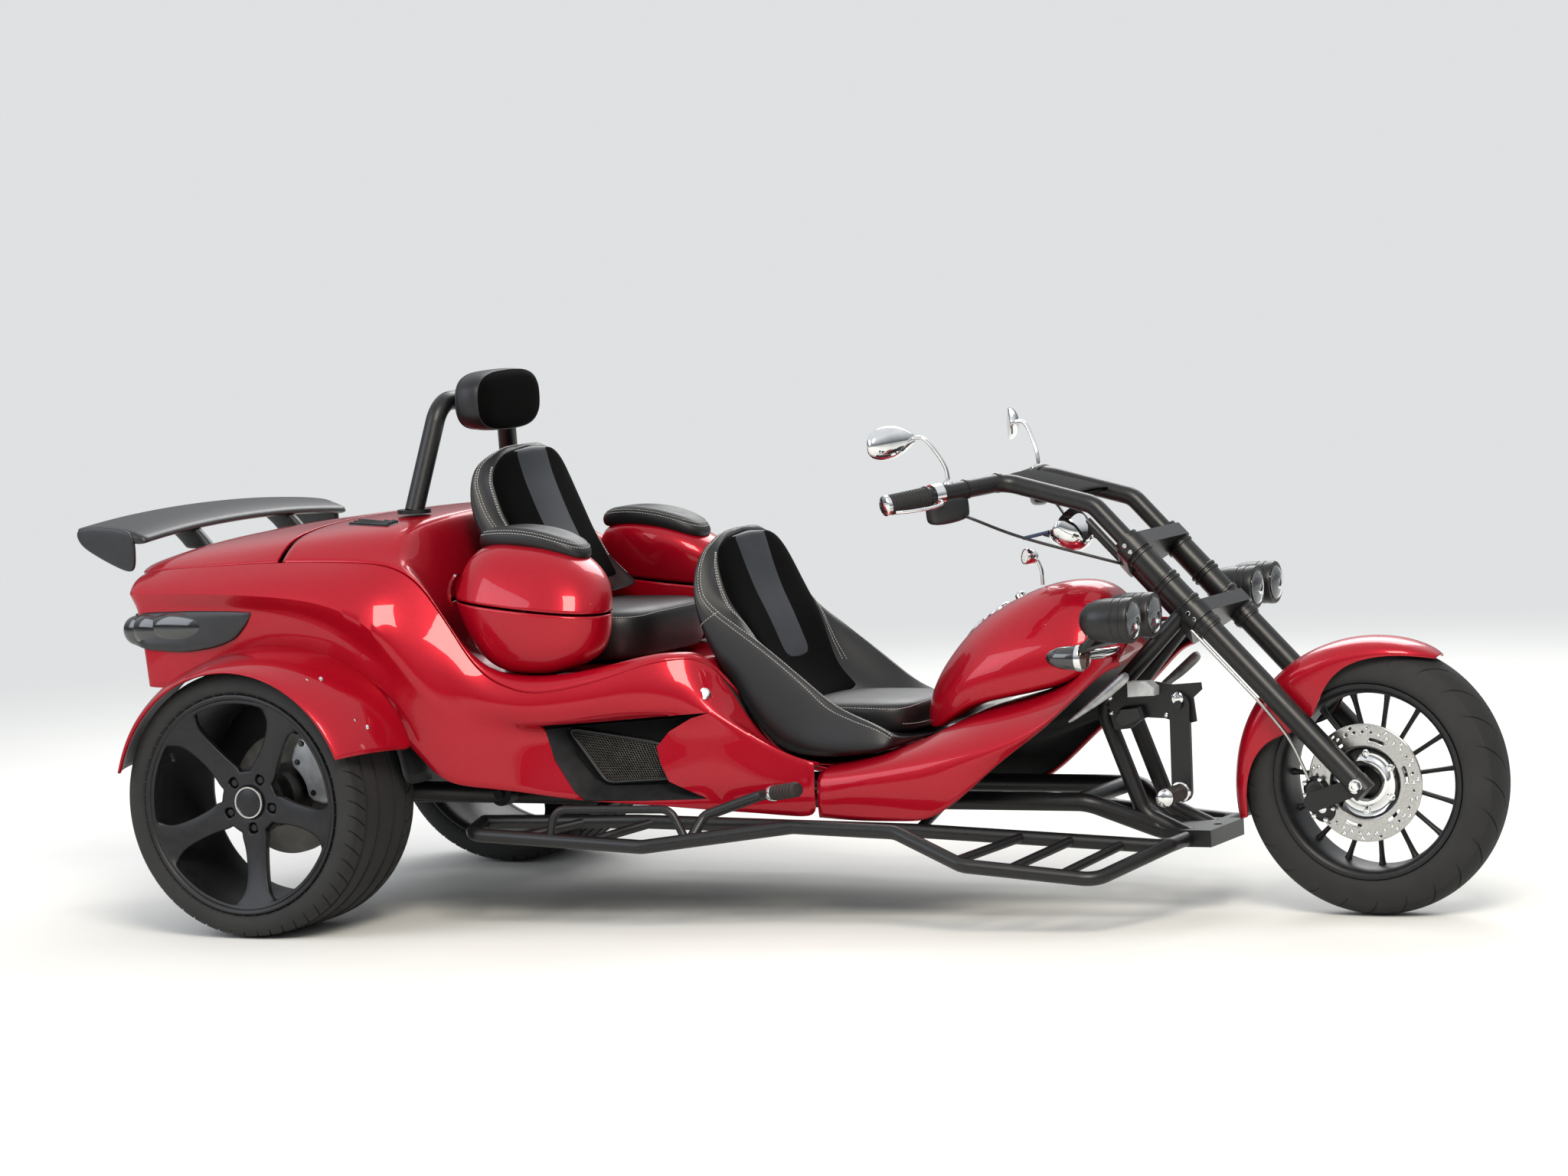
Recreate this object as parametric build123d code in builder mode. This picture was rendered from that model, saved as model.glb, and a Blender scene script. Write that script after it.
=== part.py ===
# Three-wheeled motor trike: raked fork, bucket seats in a row, glass-fibre body on a tube frame.
# +X forward, +Y left, +Z up. The origin is on the ground, under the middle of the overall box.
import os
from math import atan2, cos, hypot, radians, sin

from build123d import *

os.makedirs("parts", exist_ok=True)

# Overall sizes in millimetres
wheelbase = 2620
tail_overhang = 613  # rear axle to the spoiler's rear edge
rear_wheel_y = 640  # middle of a rear tyre
fender_reach = 35  # rear fender's lip outside the tyre
seat_gap = 0.3  # between a piece and what it sits on
run_gap = 0.3  # radial clearance of a shaft in its bearing
wall = 8  # body skin

# Wheels
rear_tyre_r = 328
rear_tyre_w = 310
rear_crown = 12  # tread middle above its shoulders
rear_barrel_r = 256
rear_lip_r = 268
rear_spokes = 5
rear_spoke_w = 58
front_tyre_r = 318
front_tyre_w = 150
front_crown = 34
front_barrel_r = 217
front_lip_r = 229
front_spokes = 15
front_spoke_w = 12
rim_lip_t = 10
rim_wall = 7
rim_inset = 5  # rim lip behind the tyre's bulge
hub_r = 82
hub_face_in = 45  # hub face behind the outer lip
hub_depth = 90
spindle_r = 25
half_shaft_r = 14
disc_r = 150
disc_t = 20
front_axle_r = 10
front_hub_r = 45
front_hub_half = 60
front_disc_r = 138
front_disc_t = 6
front_disc_bore = 80
disc_carrier_t = 16
disc_carrier_r = 90

# Fork and steering head
rake = 43.8  # degrees from vertical
leg_y = 125
leg_r = 27
sleeve_r = 31
sleeve_length = 300
leg_length = 800  # top of a leg to the front axle
leg_below_axle = 24
axis_back = 60  # steering axis behind the legs
stem_r = 15
neck_r = 32
clamp_t = 36
clamp_edge = 10  # clamp round each leg
clamp_nose_r = 38  # clamp round the stem
upper_clamp_at = 12  # below the top of the legs
lower_clamp_at = 232
bar_r = 22
grip_r = 18

# Frame
rail_r = 22
rail_y = 165
rail_z = 276
tip_back = 375  # frame's front end behind the front axle
tip_half = 90
tip_z = 165
tip_t = 40
tie_down_r = 11
pivot_ahead = 430  # rear arm pivots ahead of the rear axle
pivot_r = 12
down_r = 20
lamp_bar_r = 11
board_r = 17
rung_r = 11

# Body
tail_half = 600
well_gap = 30  # wheel well around the tyre
well_in = 22  # well wall inside the tyre
deck_z = 990
recess_z = 612  # floor of the passenger recess
floor_z = 378  # floor under the driver
seam_ahead = 1335  # joint of tub and cowl ahead of the rear axle
hinge_ahead = 10  # trunk hinge ahead of the rear axle
lid_half = 520
lid_low = 868
lid_gap = 6.5  # each side of the hinge line, and round the lid
pod_length = 450
pod_width = 238
pod_corner = 116
pod_middle_ahead = 627
pod_y = 381
pod_seam_z = 764
pod_seam = 5
pod_top_z = 905
pad_t = 48
knuckle = 20  # length of one hinge barrel

# Places worked out from those sizes
rear_axle_x = (tail_overhang - wheelbase - front_tyre_r) / 2
front_axle_x = rear_axle_x + wheelbase
rear_axle = (rear_axle_x, rear_tyre_r)
front_axle = (front_axle_x, front_tyre_r)
lean = radians(rake)
fork_down = (sin(lean), -cos(lean))  # along the fork, in X and Z
fork_out = (cos(lean), sin(lean))  # square to it, to the front
fork_top = (front_axle_x - leg_length * fork_down[0], front_tyre_r - leg_length * fork_down[1])
well_y = rear_wheel_y - rear_tyre_w / 2 - well_in
fender_y = rear_wheel_y + rear_tyre_w / 2 + fender_reach


def rear(ahead):
    # X of a place given ahead of the rear axle.
    return rear_axle_x + ahead


def fore(back):
    # X of a place given behind the front axle.
    return front_axle_x - back


def fork_point(down, out=0.0, side=0.0):
    # A place given down the fork from the top of the legs, out to the front and to the side.
    return (
        fork_top[0] + down * fork_down[0] + out * fork_out[0],
        side,
        fork_top[1] + down * fork_down[1] + out * fork_out[1],
    )


def fork_plane(down, out=0.0, side=0.0):
    # Plane square to the fork: its x points to the front, its normal up the fork.
    front = (fork_out[0], 0, fork_out[1])
    up = (-fork_down[0], 0, -fork_down[1])
    return Plane(fork_point(down, out, side), x_dir=front, z_dir=up)


def wheel_plane(axle, angle=90.0):
    # Plane through an axle: x runs along the axle, y points out at the angle from straight ahead.
    turn = radians(angle)
    return Plane((axle[0], 0, axle[1]), x_dir=(0, 1, 0), z_dir=(sin(turn), 0, -cos(turn)))


def axle_axis(axle):
    return Axis((axle[0], 0, axle[1]), (0, 1, 0))


def across(x, y, z):
    # Location whose Z runs across the vehicle.
    return Location((x, y, z), (90, 0, 0))


def save(part, node):
    part.label = node
    export_step(part, f"parts/{node}.step")


def save_pair(right_part, name):
    # The left piece is the right one in a mirror on the middle plane.
    with BuildPart() as left:
        mirror(right_part, about=Plane.XZ)
    save(right_part, f"{name}_right")
    save(left.part, f"{name}_left")


def tube(points, radius, bend):
    # A bent tube through the points, in straight runs and tangent arcs.
    with BuildPart() as run:
        with BuildLine() as path:
            if len(points) > 2:
                FilletPolyline(*points, radius=bend)
            else:
                Line(*points)
        with BuildSketch(Plane(path.line @ 0, z_dir=path.line % 0)) as section:
            Circle(radius)
        sweep(sections=section.sketch, path=path.line)
    return run.part


def joined(pieces):
    # Welded pieces, as one solid.
    with BuildPart() as weldment:
        for piece in pieces:
            add(piece)
    return weldment.part


def side_slab(points, y_low, y_high, radii=None):
    # A side outline in X and Z, carried across from y_low to y_high.
    with BuildPart() as slab:
        with BuildSketch(Plane.XZ.offset(-y_low)):
            with BuildLine():
                if radii is None:
                    Polyline(*points, close=True)
                else:
                    FilletPolyline(*points, radius=radii, close=True)
            make_face()
        extrude(amount=y_low - y_high)
    return slab.part


# Tyres and rims


def make_tyre(axle, middle, width, radius, barrel, lip, crown):
    half = width / 2
    bead = half - rim_inset - rim_lip_t - seat_gap
    bore = barrel + seat_gap
    foot = lip + 2
    shoulder = half - crown / 2
    bulge = (foot + radius - crown) / 2
    with BuildPart() as ring:
        with BuildSketch(wheel_plane(axle)):
            with BuildLine():
                Polyline(
                    (middle - bead, foot), (middle - bead, bore), (middle + bead, bore), (middle + bead, foot)
                )
                ThreePointArc(
                    (middle + bead, foot), (middle + half, bulge), (middle + shoulder, radius - crown)
                )
                ThreePointArc(
                    (middle + shoulder, radius - crown), (middle, radius), (middle - shoulder, radius - crown)
                )
                ThreePointArc(
                    (middle - shoulder, radius - crown), (middle - half, bulge), (middle - bead, foot)
                )
            make_face()
        revolve(axis=axle_axis(axle))
    return ring.part


def make_rim(axle, middle, width, barrel, lip, hub, hub_span, bore, spokes, spoke_w, spoke_span):
    # Barrel with two lips, a hub and straight spokes. Spans are given outward and inward along the axle.
    half = width / 2 - rim_inset
    inner = barrel - rim_wall
    with BuildPart() as wheel:
        with BuildSketch(wheel_plane(axle)):
            with BuildLine():
                Polyline(
                    (middle - half, inner),
                    (middle + half, inner),
                    (middle + half, lip),
                    (middle + half - rim_lip_t, lip),
                    (middle + half - rim_lip_t, barrel),
                    (middle - half + rim_lip_t, barrel),
                    (middle - half + rim_lip_t, lip),
                    (middle - half, lip),
                    close=True,
                )
            make_face()
            with Locations(((hub_span[0] + hub_span[1]) / 2, (hub + bore) / 2)):
                Rectangle(abs(hub_span[1] - hub_span[0]), hub - bore)
        revolve(axis=axle_axis(axle))
        reach = inner + rim_wall / 2 - (hub - rim_wall)
        with BuildSketch(Plane((axle[0], spoke_span[0], axle[1]), x_dir=(1, 0, 0), z_dir=(0, 1, 0))):
            with PolarLocations(hub - rim_wall + reach / 2, spokes, 90):
                Rectangle(reach, spoke_w)
        extrude(amount=spoke_span[1] - spoke_span[0])
    return wheel.part


rear_face_y = -(rear_wheel_y + rear_tyre_w / 2 - rim_inset)
rear_hub_out = rear_face_y + hub_face_in
rear_hub_in = rear_hub_out + hub_depth

save_pair(
    make_tyre(
        rear_axle, -rear_wheel_y, rear_tyre_w, rear_tyre_r, rear_barrel_r, rear_lip_r, rear_crown
    ),
    "rear_tyre",
)
save_pair(
    make_rim(
        rear_axle,
        -rear_wheel_y,
        rear_tyre_w,
        rear_barrel_r,
        rear_lip_r,
        hub_r,
        (rear_hub_out, rear_hub_in),
        half_shaft_r,
        rear_spokes,
        rear_spoke_w,
        (rear_hub_out - 6, rear_hub_out + 28),
    ),
    "rear_rim",
)
save(
    make_tyre(front_axle, 0, front_tyre_w, front_tyre_r, front_barrel_r, front_lip_r, front_crown),
    "front_tyre",
)
save(
    make_rim(
        front_axle,
        0,
        front_tyre_w,
        front_barrel_r,
        front_lip_r,
        front_hub_r,
        (-front_hub_half, front_hub_half),
        front_axle_r + run_gap,
        front_spokes,
        front_spoke_w,
        (-11, 11),
    ),
    "front_rim",
)

# Rear hubs with brake disc and half shaft, turned about the axle
engine_half = 200
housing_in = -(well_y - 40)
housing_out = housing_in - 50
bracket_t = 30
bracket_out = housing_out - bracket_t
disc_in = bracket_out - 40
hub_profile = (
    # along the axle, radius
    (-(engine_half + seat_gap), half_shaft_r),
    (housing_in, half_shaft_r),
    (housing_in, spindle_r),
    (bracket_out - 4, spindle_r),
    (bracket_out - 4, 95),
    (disc_in, 95),
    (disc_in, disc_r),
    (disc_in - disc_t, disc_r),
    (disc_in - disc_t, hub_r - 8),
    (rear_hub_in + seat_gap, hub_r - 8),
)
with BuildPart() as rear_hub:
    with BuildSketch(wheel_plane(rear_axle)):
        with BuildLine():
            Polyline((hub_profile[0][0], 0), *hub_profile, (hub_profile[-1][0], 0), close=True)
        make_face()
    revolve(axis=axle_axis(rear_axle))
save_pair(rear_hub.part, "rear_hub")

carrier_in = front_hub_half + seat_gap
carrier_bore = 40
front_disc_out = -(carrier_in + disc_carrier_t + front_disc_t)
with BuildPart() as front_disc:
    with BuildSketch(wheel_plane(front_axle)):
        with Locations((-(carrier_in + disc_carrier_t / 2), (carrier_bore + disc_carrier_r) / 2)):
            Rectangle(disc_carrier_t, disc_carrier_r - carrier_bore)
        with Locations((front_disc_out + front_disc_t / 2, (front_disc_bore + front_disc_r) / 2)):
            Rectangle(front_disc_t, front_disc_r - front_disc_bore)
    revolve(axis=axle_axis(front_axle))
save(front_disc.part, "front_disc")

# Rear arms: bearing housing, caliper bracket, arm tube and pivot bush
caliper_angle = 24  # above straight ahead
caliper_turn = radians(caliper_angle)
caliper_r = 150
arm_r = 24
bush_y = 245
bush_half = 20
rail_pivot_z = rail_z + 14
arm_tube = tube(
    [(rear(20), housing_in - 25, rear_tyre_r), (rear(pivot_ahead), -bush_y, rail_pivot_z)], arm_r, 0
)
with BuildPart() as rear_arm:
    with Locations(across(rear_axle_x, (housing_in + housing_out) / 2, rear_tyre_r)):
        Cylinder(55, housing_in - housing_out)
    with BuildSketch(Plane((rear_axle_x, housing_out, rear_tyre_r), x_dir=(1, 0, 0), z_dir=(0, -1, 0))):
        SlotCenterPoint((0, 0), (caliper_r * cos(caliper_turn), caliper_r * sin(caliper_turn)), 90)
    extrude(amount=bracket_t)
    add(arm_tube)
    with Locations(across(rear(pivot_ahead), -bush_y, rail_pivot_z)):
        Cylinder(30, 2 * bush_half)
        Cylinder(pivot_r + run_gap, 5 * bush_half, mode=Mode.SUBTRACT)
    with Locations(across(rear_axle_x, (housing_in + bracket_out) / 2, rear_tyre_r)):
        Cylinder(spindle_r + run_gap, 3 * (housing_in - bracket_out), mode=Mode.SUBTRACT)
save_pair(rear_arm.part, "rear_arm")

# Brake calipers, each a block over its disc
caliper_gap = 3


def make_caliper(axle, angle, middle_r, depth, length, y_inner, y_outer, disc_span, disc_radius):
    with BuildPart() as block:
        with BuildSketch(Plane((axle[0], y_inner, axle[1]), x_dir=(1, 0, 0), z_dir=(0, -1, 0))):
            with PolarLocations(middle_r, 1, angle):
                RectangleRounded(depth, length, 14)
        extrude(amount=y_inner - y_outer)
        with Locations(across(axle[0], (disc_span[0] + disc_span[1]) / 2, axle[1])):
            Cylinder(
                disc_radius + caliper_gap,
                abs(disc_span[1] - disc_span[0]) + 2 * caliper_gap,
                mode=Mode.SUBTRACT,
            )
    return block.part


save_pair(
    make_caliper(
        rear_axle,
        caliper_angle,
        caliper_r,
        80,
        140,
        bracket_out - seat_gap,
        disc_in - disc_t - 28,
        (disc_in - disc_t, disc_in),
        disc_r,
    ),
    "rear_caliper",
)
front_caliper_angle = 200
front_caliper_r = 122
lug_w = 44
leg_face = leg_y - leg_r
save(
    make_caliper(
        front_axle,
        front_caliper_angle,
        front_caliper_r,
        62,
        100,
        front_disc_out + front_disc_t + 12,
        -leg_face + seat_gap,
        (front_disc_out, front_disc_out + front_disc_t),
        front_disc_r,
    ),
    "front_caliper",
)

# Fork: two legs with sleeves, two clamps, the stem, the axle and the caliper's lug
with BuildPart() as fork:
    for side in (-leg_y, leg_y):
        with BuildSketch(fork_plane(leg_length + leg_below_axle, 0, side)):
            Circle(leg_r)
        extrude(amount=leg_length + leg_below_axle)
        with BuildSketch(fork_plane(sleeve_length, 0, side)):
            Circle(sleeve_r)
        extrude(amount=sleeve_length)
    for down in (upper_clamp_at + clamp_t, lower_clamp_at + clamp_t):
        with BuildSketch(fork_plane(down)):
            with Locations((0, -leg_y), (0, leg_y)):
                Circle(leg_r + clamp_edge)
            with Locations((-axis_back, 0)):
                Circle(clamp_nose_r)
            make_hull()
        extrude(amount=clamp_t)
    with BuildSketch(fork_plane(lower_clamp_at + clamp_t / 2, -axis_back)):
        Circle(stem_r)
    extrude(amount=lower_clamp_at - upper_clamp_at)
    with Locations(across(front_axle_x, 0, front_tyre_r)):
        Cylinder(front_axle_r, 2 * leg_y)
    lug_turn = radians(front_caliper_angle)
    with BuildSketch(Plane((front_axle_x, -leg_face, front_tyre_r), x_dir=(1, 0, 0), z_dir=(0, -1, 0))):
        with Locations((front_caliper_r / 2 * cos(lug_turn), front_caliper_r / 2 * sin(lug_turn))):
            SlotCenterToCenter(front_caliper_r, lug_w, rotation=front_caliper_angle)
    extrude(amount=leg_r)
save(fork.part, "fork")

# Brake hose behind the right-hand leg, from the lower clamp to the top of the caliper
hose_r = 4
hose_route = (
    # down the fork, out to the front, to the side
    (lower_clamp_at + clamp_t + seat_gap, -30, -(leg_y + 20)),
    (520, -30, -(leg_y + 20)),
    (610, -46, -(leg_y - 5)),
    (703.6, -91, -(leg_face - 5)),
)
save(tube([fork_point(*place) for place in hose_route], hose_r, [260, 300]), "brake_hose")

# Handlebar: a tube from the top of each leg to each grip, with a plate between them
bar_bend = 60
knee = (fore(857), 1034)
grip_inner = (fore(967), 330, 1015)
grip_outer = (fore(1032), 420, 1002)
bar_rise = 112  # straight run above the legs
bar_turn = fork_point(-bar_rise)[::2]
bars = []
for side in (-1, 1):
    bars.append(
        tube(
            [
                fork_point(-seat_gap, 0, side * leg_y),
                (bar_turn[0], side * leg_y, bar_turn[1]),
                (knee[0], side * leg_y, knee[1]),
                (grip_inner[0], side * grip_inner[1], grip_inner[2]),
            ],
            bar_r,
            bar_bend,
        )
    )
plate_t = 6
plate_ahead = 0.72  # share of the run from knee to turn that the plate covers
plate_front = (
    knee[0] + plate_ahead * (bar_turn[0] - knee[0]),
    knee[1] + plate_ahead * (bar_turn[1] - knee[1]),
)
bar_plate = side_slab(
    [
        (knee[0], knee[1]),
        plate_front,
        (plate_front[0], plate_front[1] + plate_t),
        (knee[0], knee[1] + plate_t),
    ],
    -leg_y,
    leg_y,
)
save(joined([*bars, bar_plate]), "handlebar")

# Grips with lever perches, and mirrors
grip_run = Vector(*grip_outer) - Vector(*grip_inner)
grip_start = Vector(grip_inner[0], -grip_inner[1], grip_inner[2])
grip_way = Vector(grip_run.X, -grip_run.Y, grip_run.Z).normalized()
grip_length = grip_run.length
bar_way = Vector(
    grip_inner[0] - knee[0], -(grip_inner[1] - leg_y), grip_inner[2] - knee[1]
).normalized()
perch_length = 42
with BuildPart() as grip:
    with BuildSketch(Plane(grip_start + bar_way * seat_gap, z_dir=bar_way)):
        Circle(bar_r)
    extrude(amount=perch_length)
    with BuildSketch(Plane(grip_start + bar_way * (perch_length - 10), z_dir=grip_way)):
        Circle(grip_r)
    extrude(amount=grip_length - perch_length + 10)
    lever_start = grip_start + bar_way * (perch_length - 10)
    add(
        tube(
            [
                lever_start,
                lever_start + Vector(52, 0, 0),
                lever_start + Vector(58, 0, -4) + grip_way * grip_length * 1.05,
            ],
            6,
            18,
        )
    )
save_pair(grip.part, "grip")

mirror_seat = grip_start - bar_way * 78 + Vector(0, 0, bar_r + 3 * seat_gap)
mirror_head = Vector(fore(1017), -380, 1150)
with BuildPart() as side_mirror:
    add(tube([mirror_seat, mirror_seat + Vector(0, 0, 30), mirror_head], 6, 14))
    with BuildSketch(Plane(mirror_head, x_dir=(0, 1, 0), z_dir=(1, 0, 0.25))):
        Ellipse(64, 38)
    extrude(amount=16, both=True)
save_pair(side_mirror.part, "mirror")

# Front fender: a turned shell with skirts to the fork legs
fender_gap = 12
fender_t = 5
fender_half = leg_face - seat_gap
fender_r = front_tyre_r + fender_gap
fender_front = 62  # angles from straight ahead
fender_back = 195
skirt_low_r = 190
skirt_w = 90
fender_side_r = 288
shoulder_r = 306
skirt_top_r = (fender_side_r + shoulder_r) / 2
leg_angle = 90 + rake
with BuildPart() as front_fender:
    with BuildSketch(wheel_plane(front_axle, fender_back)):
        with BuildLine():
            Line((-fender_half, fender_side_r), (-fender_half, shoulder_r))
            ThreePointArc((-fender_half, shoulder_r), (0, fender_r + fender_t), (fender_half, shoulder_r))
            Line((fender_half, shoulder_r), (fender_half, fender_side_r))
            Line((fender_half, fender_side_r), (fender_half - fender_t, fender_side_r))
            Line((fender_half - fender_t, fender_side_r), (fender_half - fender_t, shoulder_r))
            ThreePointArc(
                (fender_half - fender_t, shoulder_r), (0, fender_r), (fender_t - fender_half, shoulder_r)
            )
            Line((fender_t - fender_half, shoulder_r), (fender_t - fender_half, fender_side_r))
            Line((fender_t - fender_half, fender_side_r), (-fender_half, fender_side_r))
        make_face()
    revolve(axis=axle_axis(front_axle), revolution_arc=fender_back - fender_front)
    for y_start in (-fender_half, fender_half - fender_t):
        with BuildSketch(Plane((front_axle_x, y_start, front_tyre_r), x_dir=(1, 0, 0), z_dir=(0, -1, 0))):
            with PolarLocations((skirt_low_r + skirt_top_r) / 2, 1, leg_angle):
                Rectangle(skirt_top_r - skirt_low_r, skirt_w)
        extrude(amount=-fender_t)
save(front_fender.part, "front_fender")

# Instrument pod on a post from the upper clamp
pod_post_r = 12
dial_r = 46
dial_depth = 80
post_out = -axis_back - 24
post_top = -125
with BuildPart() as instrument:
    with BuildSketch(fork_plane(upper_clamp_at - seat_gap, post_out)):
        Circle(pod_post_r)
    extrude(amount=upper_clamp_at - post_top)
    dial_middle = fork_point(post_top, post_out - dial_depth / 2)
    with BuildSketch(Plane(dial_middle, x_dir=(0, 1, 0), z_dir=(-0.8, 0, 0.6))):
        Circle(dial_r)
    extrude(amount=dial_depth / 2, both=True)
save(instrument.part, "instrument_pod")

# Tube frame: neck, down tubes, rails, cross tubes, body posts, arm pivots, front tip and pedal outrigger
down_top_y = 40
down_low_y = 80
down_bend = (fore(648), 495)
down_foot = (fore(550), 236)
tip_x = fore(tip_back)
neck_foot = fork_point(lower_clamp_at - 26, -axis_back)
frame_pieces = []
for side in (-1, 1):
    frame_pieces.append(
        tube(
            [
                (neck_foot[0], side * down_top_y, neck_foot[2]),
                (down_bend[0], side * down_low_y, down_bend[1]),
                (down_foot[0], side * down_low_y, down_foot[1]),
                (tip_x - 60, side * down_low_y, tip_z + tip_t / 2),
            ],
            down_r,
            [60, 60],
        )
    )
    frame_pieces.append(
        tube(
            [
                (rear(-240), side * rail_y, rail_z),
                (fore(660), side * rail_y, rail_z),
                (fore(520), side * down_low_y, tip_z + tip_t),
                (tip_x - 60, side * down_low_y, tip_z + tip_t / 2),
            ],
            rail_r,
            [80, 60],
        )
    )
for cross_x in (rear(-200), rear(560), rear(seam_ahead), fore(690)):
    frame_pieces.append(tube([(cross_x, -rail_y, rail_z), (cross_x, rail_y, rail_z)], down_r, 0))
for post_x, skin_top in ((rear(1200), floor_z), (rear(700), recess_z)):
    for side in (-rail_y, rail_y):
        frame_pieces.append(
            tube([(post_x, side, rail_z), (post_x, side, skin_top - wall - seat_gap)], down_r, 0)
        )
pivot_reach = bush_y + bush_half + 12
frame_pieces.append(
    tube(
        [(rear(pivot_ahead), -pivot_reach, rail_pivot_z), (rear(pivot_ahead), pivot_reach, rail_pivot_z)],
        pivot_r,
        0,
    )
)
pedal_pin = (fore(430), 505)
pedal_pin_r = 10
frame_pieces.append(
    tube(
        [
            (down_bend[0], -down_low_y, down_bend[1]),
            (pedal_pin[0] - 60, -110, pedal_pin[1]),
            (pedal_pin[0], -110, pedal_pin[1]),
        ],
        14,
        30,
    )
)
tie_down_x = tip_x - 24
with BuildPart() as frame_tube:
    for piece in frame_pieces:
        add(piece)
    with BuildSketch(fork_plane(lower_clamp_at - seat_gap, -axis_back)):
        Circle(neck_r)
    extrude(amount=lower_clamp_at - upper_clamp_at - clamp_t - 2 * seat_gap)
    with BuildSketch(fork_plane(lower_clamp_at, -axis_back)):
        Circle(stem_r + run_gap)
    extrude(amount=lower_clamp_at - upper_clamp_at, mode=Mode.SUBTRACT)
    with Locations((tip_x - 60, 0, tip_z + tip_t / 2)):
        Box(120, 2 * tip_half + 40, tip_t)
    with Locations((tie_down_x, 0, tip_z + tip_t / 2)):
        Cylinder(tie_down_r, 2 * tip_t, mode=Mode.SUBTRACT)
    with Locations(across(pedal_pin[0], -127, pedal_pin[1])):
        Cylinder(pedal_pin_r, 46)
save(frame_tube.part, "frame")

# Brake pedal hung from the frame's pin
pedal_low = (fore(432), 300)
pedal_t = 12
pedal_y = -128
with BuildPart() as brake_pedal:
    with BuildSketch(Plane((0, pedal_y, 0), x_dir=(1, 0, 0), z_dir=(0, -1, 0))):
        SlotCenterPoint(
            ((pedal_pin[0] + pedal_low[0]) / 2, (pedal_pin[1] + pedal_low[1]) / 2), pedal_pin, 50
        )
    extrude(amount=pedal_t)
    with Locations(across(pedal_low[0], pedal_y - 60, pedal_low[1])):
        Cylinder(17, 120)
    with Locations(across(pedal_pin[0], pedal_y, pedal_pin[1])):
        Cylinder(pedal_pin_r + run_gap, 4 * pedal_t, mode=Mode.SUBTRACT)
save(brake_pedal.part, "brake_pedal")

# Engine and gearbox as one block on the rails, and the muffler behind it
engine_low = rail_z + rail_r + seat_gap
engine_back = -220
engine_front = 270
engine_top = 640
save(
    side_slab(
        [
            (rear(engine_back), engine_low),
            (rear(engine_front), engine_low),
            (rear(engine_front), engine_top - 80),
            (rear(engine_front - 120), engine_top),
            (rear(engine_back), engine_top),
        ],
        -engine_half,
        engine_half,
    ),
    "engine",
)
muffler_ahead = -320
muffler_z = 440
muffler_r = 72
muffler_half = 240
pipe_r = 30
pipe_bore = 26
pipe_length = 150
pipe_y = 150
with BuildPart() as muffler:
    with Locations(across(rear(muffler_ahead), 0, muffler_z)):
        Cylinder(muffler_r, 2 * muffler_half)
    fillet(muffler.edges().filter_by(GeomType.CIRCLE), 18)
    with Locations(Location((rear((muffler_ahead + engine_back - seat_gap) / 2), 0, muffler_z), (0, 90, 0))):
        Cylinder(pipe_bore, engine_back - seat_gap - muffler_ahead)
    for side in (-pipe_y, pipe_y):
        with Locations(Location((rear(muffler_ahead - pipe_length / 2), side, muffler_z), (0, 90, 0))):
            Cylinder(pipe_r, pipe_length)
            Cylinder(pipe_bore, pipe_length + 1, mode=Mode.SUBTRACT)
save(muffler.part, "muffler")

# Rear fenders, turned about the axle and seated on the side of the tub
rear_fender_t = 6
well_r = rear_tyre_r + well_gap
lip_r = rear_tyre_r + 2
fender_seat = tail_half + seat_gap
rear_fender_back = 164
rear_fender_front = 22
fender_crown = (-(fender_seat + fender_y) / 2, well_r + 6)
with BuildPart() as rear_fender:
    with BuildSketch(wheel_plane(rear_axle, rear_fender_back)):
        with BuildLine():
            Line((-fender_seat, well_r), (-fender_seat, well_r + rear_fender_t))
            ThreePointArc(
                (-fender_seat, well_r + rear_fender_t),
                (fender_crown[0], fender_crown[1] + rear_fender_t),
                (-(fender_y - 28), well_r - 12),
            )
            Line((-(fender_y - 28), well_r - 12), (-fender_y, lip_r))
            Line((-fender_y, lip_r), (-(fender_y - rear_fender_t), lip_r))
            Line((-(fender_y - rear_fender_t), lip_r), (-(fender_y - 34), well_r - 20))
            ThreePointArc((-(fender_y - 34), well_r - 20), fender_crown, (-fender_seat, well_r))
        make_face()
    revolve(axis=axle_axis(rear_axle), revolution_arc=rear_fender_back - rear_fender_front)
save_pair(rear_fender.part, "rear_fender")

# Tub: a hollow skin, open below, from the tail to the floor under the driver
open_shift = 3 * wall  # how far the hollow runs out of the open sides
tail_lean = (478 - 380) / (850 - 600)  # how far the tail leans back for each mm up
tub_side = (
    # ahead of the rear axle, height, corner radius, and which way the hollow runs out there
    (-380, 600, 20, (tail_lean, -1)),
    (-478, 850, 30, (0, 0)),
    (-440, 905, 20, (0, 0)),
    (-150, 965, 250, (0, 0)),
    (60, deck_z, 150, (0, 0)),
    (300, deck_z, 12, (0, 0)),
    (385, recess_z, 50, (0, 0)),
    (870, recess_z, 120, (0, 0)),
    (1005, 645, 12, (0, 0)),
    (1085, floor_z, 40, (0, 0)),
    (seam_ahead, floor_z, 2, (1, 0)),
    (seam_ahead, 253, 2, (1, -1)),
    (773, 303, 60, (0, -1)),
    (614, 326, 40, (0, -1)),
    (448, 354, 30, (-0.5, -1)),
    (345, 470, 40, (-1, -1)),
)
tub_plan = (
    # ahead of the rear axle, half width
    (-370, tail_half),
    (330, tail_half),
    (448, 545),
    (614, 480),
    (1060, 385),
    (seam_ahead + open_shift, 332),
)
tail_bulge = -486


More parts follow.
